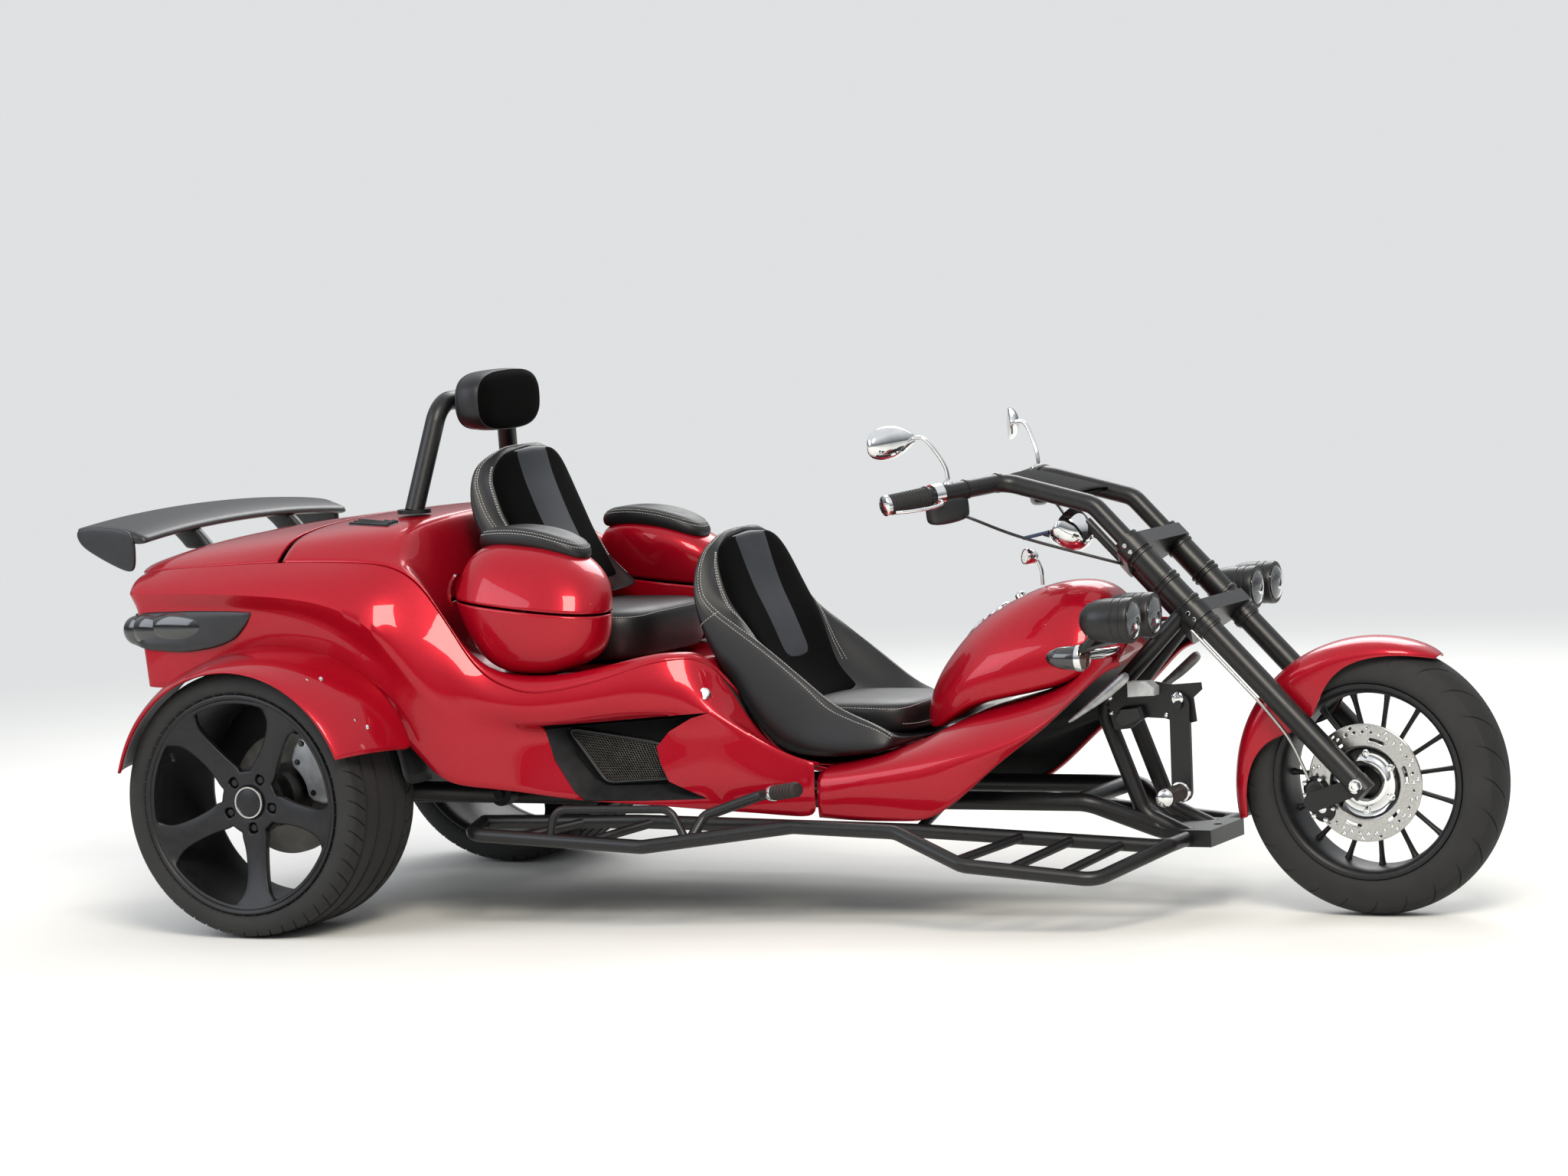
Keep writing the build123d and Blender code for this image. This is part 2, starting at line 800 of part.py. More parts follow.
def run_out(points, inset):
    # An outline's points, moved out of the open sides when it is the hollow's.
    reach = open_shift if inset else 0
    return [(x + reach * way[0], up + reach * way[1]) for x, up, way in points]


def tub_block(inset):
    # The tub's outline in side view and plan, inset by the skin for the hollow.
    with BuildPart() as block:
        with BuildSketch(Plane.XZ):
            with BuildLine():
                FilletPolyline(
                    *run_out([(rear(ahead), up, way) for ahead, up, corner, way in tub_side], inset),
                    radius=[corner for ahead, up, corner, way in tub_side],
                    close=True,
                )
            make_face()
            if inset:
                offset(amount=-inset, kind=Kind.INTERSECTION, mode=Mode.REPLACE)
        extrude(amount=1000, both=True)
        with BuildSketch(Plane.XY):
            with BuildLine():
                right = [(rear(ahead), -half) for ahead, half in tub_plan]
                left = [(rear(ahead), half) for ahead, half in reversed(tub_plan)]
                Polyline(*right, *left)
                ThreePointArc(left[-1], (rear(tail_bulge), 0), right[0])
            make_face()
            if inset:
                offset(amount=-inset, kind=Kind.INTERSECTION, mode=Mode.REPLACE)
        extrude(amount=1500, mode=Mode.INTERSECT)
        for side_sign in (-1, 1):
            with Locations(across(rear_axle_x, side_sign * (well_y - inset + 500), rear_tyre_r)):
                Cylinder(well_r + inset, 1000, mode=Mode.SUBTRACT)
    return block.part


tub_outer = tub_block(0)
tub_hollow = tub_block(wall)
deck_slope = (deck_z - 965) / (60 + 150)
hinge_z = deck_z - (60 - hinge_ahead) * deck_slope - wall / 2
barrel_r = 4.5
hinge_pin_r = 2.5
trunk_hinge_y = 300
grille_side = (
    # ahead of the rear axle, height
    (672, 478),
    (930, 436),
    (956, 338),
    (790, 312),
    (716, 350),
)
grille_wall = (tub_plan[3], tub_plan[4])  # the flat side that holds the grille


def hinge_knuckles(x, z, middle_y, lid_side):
    # Barrels of a lid hinge along Y: the fixed leaf has two and the pin, the lid has the one between.
    with BuildPart() as leaf:
        if lid_side:
            with Locations(across(x, middle_y, z)):
                Cylinder(barrel_r, knuckle - 1)
                Cylinder(hinge_pin_r + run_gap, knuckle, mode=Mode.SUBTRACT)
        else:
            with Locations(across(x, middle_y - knuckle, z), across(x, middle_y + knuckle, z)):
                Cylinder(barrel_r, knuckle)
            with Locations(across(x, middle_y, z)):
                Cylinder(hinge_pin_r, 2 * knuckle)
    return leaf.part


hinge_x = rear(hinge_ahead)
tab_t = 6
tab_reach = 22


def trunk_tabs(direction, offsets):
    # Flat tabs from the hinge barrels into the skin, towards the front or the rear.
    tab_x = hinge_x + direction * (hinge_pin_r + 1.5 + tab_reach / 2)
    with BuildPart() as tabs:
        for side in (-trunk_hinge_y, trunk_hinge_y):
            for step in offsets:
                with Locations((tab_x, side + step, hinge_z)):
                    Box(tab_reach, knuckle - 1, tab_t)
    return tabs.part


wall_turn = atan2(grille_wall[1][1] - grille_wall[0][1], grille_wall[1][0] - grille_wall[0][0])


def wall_plane(inside):
    # Plane on the right-hand side wall at the grille, moved inside the tub.
    run = (cos(wall_turn), -sin(wall_turn))
    inward = (sin(wall_turn), cos(wall_turn))
    start = (rear(grille_wall[0][0]) - inside * -inward[0], -grille_wall[0][1] + inside * inward[1])
    return Plane((start[0], start[1], 0), x_dir=(run[0], run[1], 0), z_dir=(-inward[0], -inward[1], 0))


def grille_outline(grow):
    # The grille's outline, drawn on its wall.
    points = [((ahead - grille_wall[0][0]) / cos(wall_turn), up) for ahead, up in grille_side]
    with BuildSketch(wall_plane(wall)) as face:
        with BuildLine():
            Polyline(*points, close=True)
        make_face()
        if grow:
            offset(amount=grow, kind=Kind.INTERSECTION, mode=Mode.REPLACE)
    return face.sketch


with BuildPart() as grille_cut:
    extrude(grille_outline(0), amount=2 * wall, both=True)
with BuildPart() as grille_cut_left:
    mirror(grille_cut.part, about=Plane.XZ)
with BuildPart() as tub:
    add(tub_outer)
    add(tub_hollow, mode=Mode.SUBTRACT)
    with Locations((hinge_x + lid_gap - 500, 0, lid_low + 500)):
        Box(1000, 2 * lid_half, 1000, mode=Mode.SUBTRACT)
    add(grille_cut.part, mode=Mode.SUBTRACT)
    add(grille_cut_left.part, mode=Mode.SUBTRACT)
    for side in (-trunk_hinge_y, trunk_hinge_y):
        add(hinge_knuckles(hinge_x, hinge_z, side, False))
    add(trunk_tabs(1, (-knuckle, knuckle)))
save(tub.part, "body_tub")

with BuildPart() as trunk_lid:
    add(tub_outer)
    add(tub_hollow, mode=Mode.SUBTRACT)
    with Locations((hinge_x - lid_gap - 500, 0, lid_low + lid_gap + 500)):
        Box(1000, 2 * (lid_half - lid_gap), 1000, mode=Mode.INTERSECT)
    for side in (-trunk_hinge_y, trunk_hinge_y):
        add(hinge_knuckles(hinge_x, hinge_z, side, True))
    add(trunk_tabs(-1, (0,)))
save(trunk_lid.part, "trunk_lid")

grille_t = 10
grille_edge = 12
with BuildPart() as grille:
    extrude(
        grille_outline(grille_edge).moved(
            Location((seat_gap * sin(wall_turn), seat_gap * cos(wall_turn), 0))
        ),
        amount=-grille_t,
    )
save_pair(grille.part, "side_grille")

# Spoiler: blade, end plates and two pylons on the trunk lid
spoiler_half = 500
end_plate_t = 12
pylon_y = 275
pylon_t = 34


def deck_height(ahead):
    # Top of the sloping deck at the tail.
    return 905 + (ahead + 440) * (965 - 905) / (440 - 150)


blade = side_slab(
    [
        (rear(-tail_overhang), 984),
        (rear(-tail_overhang + 13), 966),
        (rear(-424), 946),
        (rear(-412), 958),
        (rear(-442), 974),
    ],
    -spoiler_half + end_plate_t,
    spoiler_half - end_plate_t,
)
spoiler_pieces = [blade]
for side in (-1, 1):
    edge = sorted((side * spoiler_half, side * (spoiler_half - end_plate_t)))
    spoiler_pieces.append(
        side_slab(
            [
                (rear(-tail_overhang), 984),
                (rear(-tail_overhang + 17), 938),
                (rear(-443), 872),
                (rear(-412), 940),
                (rear(-442), 974),
            ],
            edge[0],
            edge[1],
        )
    )
    spoiler_pieces.append(
        side_slab(
            [
                (rear(-425), deck_height(-425) + seat_gap),
                (rear(-355), deck_height(-355) + seat_gap),
                (rear(-425), 960),
                (rear(-510), 960),
            ],
            side * pylon_y - pylon_t / 2,
            side * pylon_y + pylon_t / 2,
        )
    )
save(joined(spoiler_pieces), "spoiler")

# Cowl: the front of the body, open below and at both ends, with a notch for the neck
cowl_rear = seam_ahead + seat_gap
cowl_top = ((fore(1085), 434), (fore(545), 628))
cowl_rise = (cowl_top[1][1] - cowl_top[0][1]) / (cowl_top[1][0] - cowl_top[0][0])
floor_rise = (cowl_top[0][1] - floor_z) / (cowl_top[0][0] - rear(cowl_rear))
cowl_side = (
    # along the vehicle, height, corner radius, and which way the hollow runs out there
    (rear(cowl_rear), 253, 2, (-1, -1)),
    (fore(1000), 247, 120, (0, -1)),
    (fore(780), 391, 150, (0.5, -1)),
    (fore(530), 600, 6, (1, -0.5)),
    (*cowl_top[1], 6, (1, cowl_rise)),
    (*cowl_top[0], 60, (0, 0)),
    (rear(cowl_rear), floor_z, 2, (-1, -floor_rise)),
)
cowl_half = (
    # along the vehicle, half width, and which way the hollow runs out there
    (rear(cowl_rear), 335, -1),
    (fore(1000), 335, 0),
    (fore(530), 236, 1),
)
notch_back = 660
notch_half = 118


def cowl_height(x):
    # Height of the sloping top of the cowl, where the tank sits.
    return cowl_top[0][1] + (x - cowl_top[0][0]) * cowl_rise


def cowl_block(inset):
    # The cowl's outline in side view and plan, inset by the skin for the hollow.
    reach = open_shift if inset else 0
    with BuildPart() as block:
        with BuildSketch(Plane.XZ):
            with BuildLine():
                FilletPolyline(
                    *run_out([(x, up, way) for x, up, corner, way in cowl_side], inset),
                    radius=[corner for x, up, corner, way in cowl_side],
                    close=True,
                )
            make_face()
            if inset:
                offset(amount=-inset, kind=Kind.INTERSECTION, mode=Mode.REPLACE)
        extrude(amount=1000, both=True)
        with BuildSketch(Plane.XY):
            with BuildLine():
                right = [(x + reach * way, -half + inset) for x, half, way in cowl_half]
                left = [(x + reach * way, half - inset) for x, half, way in reversed(cowl_half)]
                Polyline(*right, *left, close=True)
            make_face()
        extrude(amount=1500, mode=Mode.INTERSECT)
    return block.part


with BuildPart() as cowl:
    add(cowl_block(0))
    add(cowl_block(wall), mode=Mode.SUBTRACT)
    with Locations((fore(notch_back) + 500, 0, 500)):
        Box(1000, 2 * notch_half, 1000, mode=Mode.SUBTRACT)
save(cowl.part, "front_cowl")

# Tank on the cowl, with its cap
tank_back = fore(1072)
tank_front = fore(575)
tank_side = (
    # behind the front axle, height, corner radius
    (1086, 545, 40),
    (994, 650, 120),
    (851, 762, 100),
    (713, 791, 60),
    (628, 753, 40),
)
tank_plan = (
    # behind the front axle, half width
    (1090, 120),
    (960, 165),
    (720, 195),
    (575, 165),
)
tank_points = [
    (tank_front, cowl_height(tank_front) + seat_gap),
    (tank_back, cowl_height(tank_back) + seat_gap),
    *[(fore(back), up) for back, up, corner in tank_side],
]
with BuildPart() as tank:
    with BuildSketch(Plane.XZ):
        with BuildLine():
            FilletPolyline(
                *tank_points, radius=[30, 30, *[corner for back, up, corner in tank_side]], close=True
            )
        make_face()
    extrude(amount=400, both=True)
    with BuildSketch(Plane.XY):
        with BuildLine():
            Polyline(
                *[(fore(back), -half) for back, half in tank_plan],
                *[(fore(back), half) for back, half in reversed(tank_plan)],
                close=True,
            )
        make_face()
    extrude(amount=1500, mode=Mode.INTERSECT)
save(tank.part, "fuel_tank")

cap_r = 36
cap_t = 20
cap_share = 0.45  # along the sloping top, from its rear corner
cap_low = (fore(tank_side[1][0]), tank_side[1][1])
cap_high = (fore(tank_side[2][0]), tank_side[2][1])
cap_run = Vector(cap_high[0] - cap_low[0], 0, cap_high[1] - cap_low[1])
cap_normal = Vector(-cap_run.Z, 0, cap_run.X).normalized()
cap_seat = Vector(cap_low[0], 0, cap_low[1]) + cap_run * cap_share + cap_normal * seat_gap
with BuildPart() as fuel_cap:
    with BuildSketch(Plane(cap_seat, x_dir=(0, 1, 0), z_dir=cap_normal)):
        Circle(cap_r)
    extrude(amount=cap_t)
    fillet(fuel_cap.faces().sort_by(Axis.Z)[-1].edges(), 5)
save(fuel_cap.part, "fuel_cap")

# Driver's bucket seat on the floor, with raised bolsters round the sitting space
seat_half = 250
seat_low = floor_z + seat_gap
seat_nose = 1505
nose_low = floor_z + (seat_nose - cowl_rear) * floor_rise + 2 * seat_gap
sit_half = 165
seat_outline = (
    # ahead of the rear axle, height, corner radius
    (1110, seat_low, 40),
    (seam_ahead, seat_low, 60),
    (seat_nose, nose_low, 30),
    (1525, 500, 30),
    (1420, 560, 60),
    (1200, 620, 70),
    (1070, 900, 60),
    (1030, 940, 25),
    (985, 900, 50),
    (1000, 760, 80),
    (1062, 600, 60),
)
sit_outline = (
    (1600, 500, 5),
    (1480, 520, 30),
    (1215, 505, 60),
    (1120, 640, 60),
    (1040, 920, 10),
    (1060, 1100, 5),
    (1600, 1100, 5),
)


def seat_points(outline):
    return [(rear(ahead), up) for ahead, up, corner in outline]


def seat_radii(outline):
    return [corner for ahead, up, corner in outline]


with BuildPart() as driver_seat:
    add(side_slab(seat_points(seat_outline), -seat_half, seat_half, seat_radii(seat_outline)))
    add(
        side_slab(seat_points(sit_outline), -sit_half, sit_half, seat_radii(sit_outline)),
        mode=Mode.SUBTRACT,
    )
save(driver_seat.part, "driver_seat")

# Passenger cushion and back
cushion_half = 245
cushion_top = 750
back_half = 205
back_low = cushion_top + seat_gap
recess_lean = (385 - 300) / (deck_z - recess_z)  # how far the recess wall leans back for each mm up


def recess_wall(up):
    # X of a piece seated on the recess wall.
    return rear(300) + (deck_z - up) * recess_lean + seat_gap / cos(atan2(85, deck_z - recess_z))


save(
    side_slab(
        [
            (recess_wall(recess_z + 60), recess_z + 60),
            (recess_wall(cushion_top), cushion_top),
            (rear(860), cushion_top),
            (rear(876), recess_z + seat_gap),
            (recess_wall(recess_z + 60) + 60, recess_z + seat_gap),
        ],
        -cushion_half,
        cushion_half,
        [12, 12, 30, 20, 30],
    ),
    "passenger_cushion",
)
save(
    side_slab(
        [
            (recess_wall(back_low), back_low),
            (recess_wall(deck_z), deck_z),
            (rear(318), deck_z + 145),
            (rear(395), deck_z + 160),
            (rear(470), deck_z - 30),
            (rear(560), back_low),
        ],
        -back_half,
        back_half,
        [8, 20, 30, 40, 120, 30],
    ),
    "passenger_back",
)

# Roll bar on the deck, and the headrest on it
hoop_r = 24
hoop_foot = (rear(218), 250)
roll_bar_rise = 272  # above the deck
hoop_top = (rear(258), 165, deck_z + roll_bar_rise)
flange_r = 42
flange_t = 10
hoop = tube(
    [
        (hoop_foot[0], -hoop_foot[1], deck_z + flange_t / 2),
        (hoop_top[0], -hoop_top[1], hoop_top[2]),
        (hoop_top[0], hoop_top[1], hoop_top[2]),
        (hoop_foot[0], hoop_foot[1], deck_z + flange_t / 2),
    ],
    hoop_r,
    70,
)
with BuildPart() as roll_bar:
    add(hoop)
    with Locations(
        (hoop_foot[0], -hoop_foot[1], deck_z + seat_gap + flange_t / 2),
        (hoop_foot[0], hoop_foot[1], deck_z + seat_gap + flange_t / 2),
    ):
        Cylinder(flange_r, flange_t)
    with Locations((hoop_foot[0], 0, deck_z + seat_gap - 100)):
        Box(400, 1000, 200, mode=Mode.SUBTRACT)
save(roll_bar.part, "roll_bar")

headrest_back = hoop_top[0] + hoop_r + seat_gap
headrest_t = 98
headrest_drop = 82  # below the middle of the hoop's top tube
headrest_height = 155
headrest_low = hoop_top[2] - headrest_drop
headrest_half = 168
with BuildPart() as headrest:
    with Locations((headrest_back + headrest_t / 2, 0, headrest_low + headrest_height / 2)):
        Box(headrest_t, 2 * headrest_half, headrest_height)
    fillet(headrest.edges().filter_by(Axis.X), 45)
    fillet(headrest.faces().sort_by(Axis.X)[-1].edges(), 25)
save(headrest.part, "headrest")

# Armrest pods: hollow bin, hinged lid and pad
pod_low = recess_z + seat_gap
pod_round = 88
pod_wall = 5
pod_hinge_x = rear(pod_middle_ahead + pod_length / 2 + barrel_r + 3)
pod_hinge_z = pod_seam_z + pod_seam / 2
pod_place = (rear(pod_middle_ahead), -pod_y)
pod_tab = 22


def pod_shell(z_low, z_high, inset, round_low):
    # A pod half: a rounded oblong with its top or bottom edge rounded over.
    with BuildPart() as half:
        with BuildSketch(Plane((pod_place[0], pod_place[1], z_low))):
            RectangleRounded(pod_length - 2 * inset, pod_width - 2 * inset, pod_corner - inset)
        extrude(amount=z_high - z_low)
        faces = half.faces().sort_by(Axis.Z)
        fillet((faces[0] if round_low else faces[-1]).edges(), pod_round - inset)
    return half.part


with BuildPart() as pod_bin:
    add(pod_shell(pod_low, pod_seam_z, 0, True))
    with Locations(
        (pod_hinge_x - pod_tab / 2, pod_place[1] - knuckle, pod_hinge_z - 7),
        (pod_hinge_x - pod_tab / 2, pod_place[1] + knuckle, pod_hinge_z - 7),
    ):
        Box(pod_tab, knuckle - 2, 8)
    add(pod_shell(pod_low + pod_wall, pod_seam_z + pod_round, pod_wall, True), mode=Mode.SUBTRACT)
    add(hinge_knuckles(pod_hinge_x, pod_hinge_z, pod_place[1], False))
save_pair(pod_bin.part, "pod_bin")

with BuildPart() as pod_lid:
    add(pod_shell(pod_seam_z + pod_seam, pod_top_z, 0, False))
    with Locations((pod_hinge_x - pod_tab / 2, pod_place[1], pod_hinge_z + 7)):
        Box(pod_tab, knuckle - 2, 8)
    add(pod_shell(pod_seam_z - pod_round, pod_top_z - pod_wall, pod_wall, False), mode=Mode.SUBTRACT)
    add(hinge_knuckles(pod_hinge_x, pod_hinge_z, pod_place[1], True))
save_pair(pod_lid.part, "pod_lid")

with BuildPart() as armrest:
    with BuildSketch(Plane((pod_place[0], pod_place[1], pod_top_z + seat_gap))):
        RectangleRounded(pod_length - 2 * pod_round + 70, pod_width - 2 * pod_round + 80, 60)
    extrude(amount=pad_t)
    fillet(armrest.faces().sort_by(Axis.Z)[-1].edges(), 20)
save_pair(armrest.part, "armrest_pad")

# Tail lamps on the side of the tub, and the bare number plate on its tail
lamp_length = 310
lamp_height = 84
lamp_t = 36
with BuildPart() as tail_lamp:
    with BuildSketch(Plane((rear(-195), -(tail_half + seat_gap), 744), x_dir=(1, 0, 0), z_dir=(0, -1, 0))):
        SlotOverall(lamp_length, lamp_height)
    extrude(amount=lamp_t)
    fillet(tail_lamp.faces().sort_by(Axis.Y)[0].edges(), 24)
save_pair(tail_lamp.part, "tail_lamp")

plate_w = 520
plate_h = 112
plate_low = 690
tail_x = rear(tail_bulge) - 4
with BuildPart() as number_plate:
    with Locations((tail_x - 6, 0, plate_low + plate_h / 2)):
        Box(8, plate_w, plate_h)
    for side in (-180, 180):
        with Locations(Location((tail_x + 30, side, plate_low + plate_h / 2), (0, 90, 0))):
            Cylinder(9, 70)
    add(tub_outer, mode=Mode.SUBTRACT)
save(number_plate.part, "number_plate")

# Headlamps: four bullets on a bar that lies on the down tubes
lamp_r = 50
lamp_depth = 125
lamp_face_x = fore(408)
lamp_z = 736
lamp_rows = (-470, -339, 339, 470)
run_x = down_bend[0] - neck_foot[0]
run_z = down_bend[1] - neck_foot[2]
run_length = hypot(run_x, run_z)
bar_share = 0.25  # along the down tube, from the neck
bar_lift = down_r + lamp_bar_r + seat_gap
lamp_bar_x = neck_foot[0] + bar_share * run_x + bar_lift * run_z / run_length
lamp_bar_z = neck_foot[2] + bar_share * run_z - bar_lift * run_x / run_length
lamp_bar = tube(
    [(lamp_bar_x, lamp_rows[0], lamp_bar_z), (lamp_bar_x, lamp_rows[-1], lamp_bar_z)], lamp_bar_r, 0
)
with BuildPart() as headlamps:
    add(lamp_bar)
    for row in lamp_rows:
        add(tube([(lamp_bar_x, row, lamp_bar_z), (lamp_face_x - 0.5 * lamp_depth, row, lamp_z)], 10, 0))
        with BuildSketch(Plane((lamp_face_x, row, lamp_z), x_dir=(-1, 0, 0), z_dir=(0, -1, 0))):
            with BuildLine():
                Line((0, 0), (0, lamp_r))
                Line((0, lamp_r), (lamp_depth - lamp_r, lamp_r))
                CenterArc((lamp_depth - lamp_r, 0), lamp_r, 0, 90)
                Line((lamp_depth, 0), (0, 0))
            make_face()
        revolve(axis=Axis((lamp_face_x, row, lamp_z), (1, 0, 0)))
save(headlamps.part, "headlamps")

# Turn signals on stalks from the sides of the cowl's nose
signal_back = 580
signal_x = fore(signal_back)
stalk_r = 9
nose_slope = (cowl_half[1][1] - cowl_half[2][1]) / (cowl_half[2][0] - cowl_half[1][0])
stalk_seat = cowl_half[2][1] + (cowl_half[2][0] - signal_x + stalk_r) * nose_slope + seat_gap
signal_z = 556
signal_y = 420
signal_rise = 76
with BuildPart() as turn_signal:
    add(
        tube(
            [
                (signal_x, -stalk_seat, signal_z),
                (signal_x, -(stalk_seat + 60), signal_z),
                (signal_x, -signal_y, signal_z + signal_rise),
            ],
            stalk_r,
            40,
        )
    )
    signal_face = (signal_x + 30, -signal_y, signal_z + signal_rise)
    with BuildSketch(Plane(signal_face, x_dir=(-1, 0, 0), z_dir=(0, -1, 0))):
        with BuildLine():
            Line((0, 0), (0, 27))
            ThreePointArc((0, 27), (60, 22), (96, 0))
            Line((96, 0), (0, 0))
        make_face()
    revolve(axis=Axis((signal_x, -signal_y, signal_z + signal_rise), (1, 0, 0)))
save_pair(turn_signal.part, "turn_signal")

# Running boards: outer tube, inner rail, rungs, outriggers, hoop and peg
board_outer = (
    (rear(482), -440, 246),
    (rear(505), -560, 232),
    (rear(975), -560, 209),
    (rear(1337), -482, 252),
    (rear(1594), -462, 240),
    (fore(842), -500, 170),
    (fore(535), -440, 134),
    (tip_x - 60, -220, tip_z + tip_t / 2),
    (tip_x - 60, -(tip_half + 20 + seat_gap), tip_z + tip_t / 2),
)
board_inner = (
    (rear(482), -440, 246),
    (rear(900), -420, 250),
    (rear(1588), -322, 224),
    (fore(461), -232, 184),
    (tip_x - 60, -215, tip_z + tip_t / 2),
)
rungs = (
    # outer end, inner end
    ((rear(640), -560, 226), (rear(760), -427, 249)),
    ((rear(820), -560, 217), (rear(940), -415, 249)),
    ((fore(860), -492, 180), (fore(780), -290, 208)),
    ((fore(740), -482, 158), (fore(660), -268, 200)),
    ((fore(620), -458, 144), (fore(540), -246, 190)),
)
outriggers = (
    ((rear(720), -430, 248), (rear(720), -(rail_y + rail_r + seat_gap), 272)),
    ((rear(1588), -322, 224), (rear(1588), -(rail_y + rail_r + seat_gap), 262)),
)
board_pieces = [
    tube(board_outer, board_r, [45, 60, 60, 60, 60, 60, 25]),
    tube(board_inner, board_r, [80, 80, 20]),
]
for start, end in rungs:
    board_pieces.append(tube([start, end], rung_r, 0))
for start, end in outriggers:
    board_pieces.append(tube([start, end], rung_r + 1, 0))
board_pieces.append(
    tube(
        [(rear(728), -560, 222), (rear(740), -560, 296), (rear(1040), -530, 296), (rear(1080), -535, 224)],
        rung_r - 1,
        40,
    )
)
peg_points = [
    (rear(1090), -530, 224),
    (rear(1110), -490, 276),
    (rear(1250), -462, 324),
    (rear(1372), -520, 346),
]
board_pieces.append(tube(peg_points, rung_r + 2, 30))
save_pair(joined(board_pieces), "running_board")
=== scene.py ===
import bpy
import bmesh
from math import copysign, cos, pi, radians, sin
from mathutils import Matrix, Vector
from mathutils.bvhtree import BVHTree


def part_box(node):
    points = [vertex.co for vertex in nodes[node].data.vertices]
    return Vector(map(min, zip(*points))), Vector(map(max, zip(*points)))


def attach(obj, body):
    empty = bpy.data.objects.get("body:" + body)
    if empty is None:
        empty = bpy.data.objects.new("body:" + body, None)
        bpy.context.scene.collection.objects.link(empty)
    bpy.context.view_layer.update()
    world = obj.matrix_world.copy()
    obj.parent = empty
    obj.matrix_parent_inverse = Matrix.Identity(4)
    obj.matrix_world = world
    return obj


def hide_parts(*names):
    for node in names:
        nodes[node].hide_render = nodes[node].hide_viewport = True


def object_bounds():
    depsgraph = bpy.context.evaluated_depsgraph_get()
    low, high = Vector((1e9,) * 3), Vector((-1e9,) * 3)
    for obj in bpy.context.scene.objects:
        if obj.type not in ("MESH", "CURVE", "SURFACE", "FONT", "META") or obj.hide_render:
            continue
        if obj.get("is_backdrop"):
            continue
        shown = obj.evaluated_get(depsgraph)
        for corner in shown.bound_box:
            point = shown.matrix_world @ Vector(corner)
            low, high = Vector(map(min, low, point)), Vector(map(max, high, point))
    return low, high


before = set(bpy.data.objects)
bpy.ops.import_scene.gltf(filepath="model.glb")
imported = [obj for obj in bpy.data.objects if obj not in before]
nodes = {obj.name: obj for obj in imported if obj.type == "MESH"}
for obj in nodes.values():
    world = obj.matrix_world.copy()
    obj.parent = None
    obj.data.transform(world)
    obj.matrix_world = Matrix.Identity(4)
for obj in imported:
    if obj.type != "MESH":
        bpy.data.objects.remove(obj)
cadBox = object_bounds()
rearAxle = -1162.5  # rear axle's place along the trike, mm
rearUp = 328  # rear axle's height, mm
frontAxle = (2620, 318)  # front axle: mm ahead of the rear one, and height
forward, toLeft, toRight = Vector((1, 0, 0)), Vector((0, 1, 0)), Vector((0, -1, 0))
hands = (("right", -1), ("left", 1))  # side, and the sign of its places across


def spot(ahead, side, up):  # mm ahead of the rear axle, to the left, above the ground
    return Vector(((ahead + rearAxle) / 1000, side / 1000, up / 1000))


def sideSpot(side, place):  # a place given by its half width, on one side
    return spot(place[0], side * place[1], place[2])


def flipSide(point):  # the same point on the other side
    return Vector((point[0], -point[1], point[2]))


def bothSides(row):  # a row that ends at the middle, and on over the other side
    return row + [flipSide(p) for p in reversed(row[:-1])]


def roundSteps(count):  # cosine and sine at even steps round a circle
    return [(cos(2 * pi * k / count), sin(2 * pi * k / count)) for k in range(count)]


def squared(c, power):  # a cosine or sine pushed out towards a square's
    return copysign(abs(c) ** power, c)


def hexColour(text):
    channels = [int(text[i:i + 2], 16) / 255 for i in (1, 3, 5)]
    return [c / 12.92 if c <= 0.04045 else ((c + 0.055) / 1.055) ** 2.4 for c in channels] + [1.0]


def addNode(tree, kind, settings=None, inputs=None):
    node = tree.nodes.new(kind)
    for key, value in (settings or {}).items():
        setattr(node, key, value)
    for key, value in (inputs or {}).items():
        if hasattr(value, "links"):
            tree.links.new(value, node.inputs[key])
        else:
            node.inputs[key].default_value = value
    return node


def addObject(name, data):
    thing = bpy.data.objects.new(name, data)
    bpy.context.scene.collection.objects.link(thing)
    return thing


def startMaterial(name, inputs):
    mat = bpy.data.materials.new(name)
    mat.use_nodes = True
    shader = mat.node_tree.nodes["Principled BSDF"]
    for key, value in inputs.items():
        shader.inputs[key].default_value = value
    return mat, mat.node_tree, shader


# noise over colour, gloss and relief
def mottle(tree, shader, colours, grainMm, detail=4.0, rough=None, bump=None):
    place = addNode(tree, "ShaderNodeTexCoord").outputs["Object"]
    noise = addNode(tree, "ShaderNodeTexNoise", None, {"Vector": place, "Scale": 1000 / grainMm,
        "Detail": detail})
    ramp = addNode(tree, "ShaderNodeValToRGB", None, {"Fac": noise.outputs["Fac"]})
    ramp.color_ramp.elements[0].position, ramp.color_ramp.elements[1].position = 0.3, 0.7
    for element, colour in zip(ramp.color_ramp.elements, colours):
        element.color = hexColour(colour)
    tree.links.new(ramp.outputs["Color"], shader.inputs["Base Color"])
    if rough:
        span = addNode(tree, "ShaderNodeMapRange", None, {"Value": noise.outputs["Fac"], "To Min": rough[0],
            "To Max": rough[1]})
        tree.links.new(span.outputs["Result"], shader.inputs["Roughness"])
    if bump:
        fine = addNode(tree, "ShaderNodeTexNoise", None, {"Vector": place, "Scale": 1000 / bump[0],
            "Detail": 3.0})
        relief = addNode(tree, "ShaderNodeBump", None, {"Height": fine.outputs["Fac"], "Strength": bump[1],
            "Distance": bump[2] / 1000})
        tree.links.new(relief.outputs["Normal"], shader.inputs["Normal"])


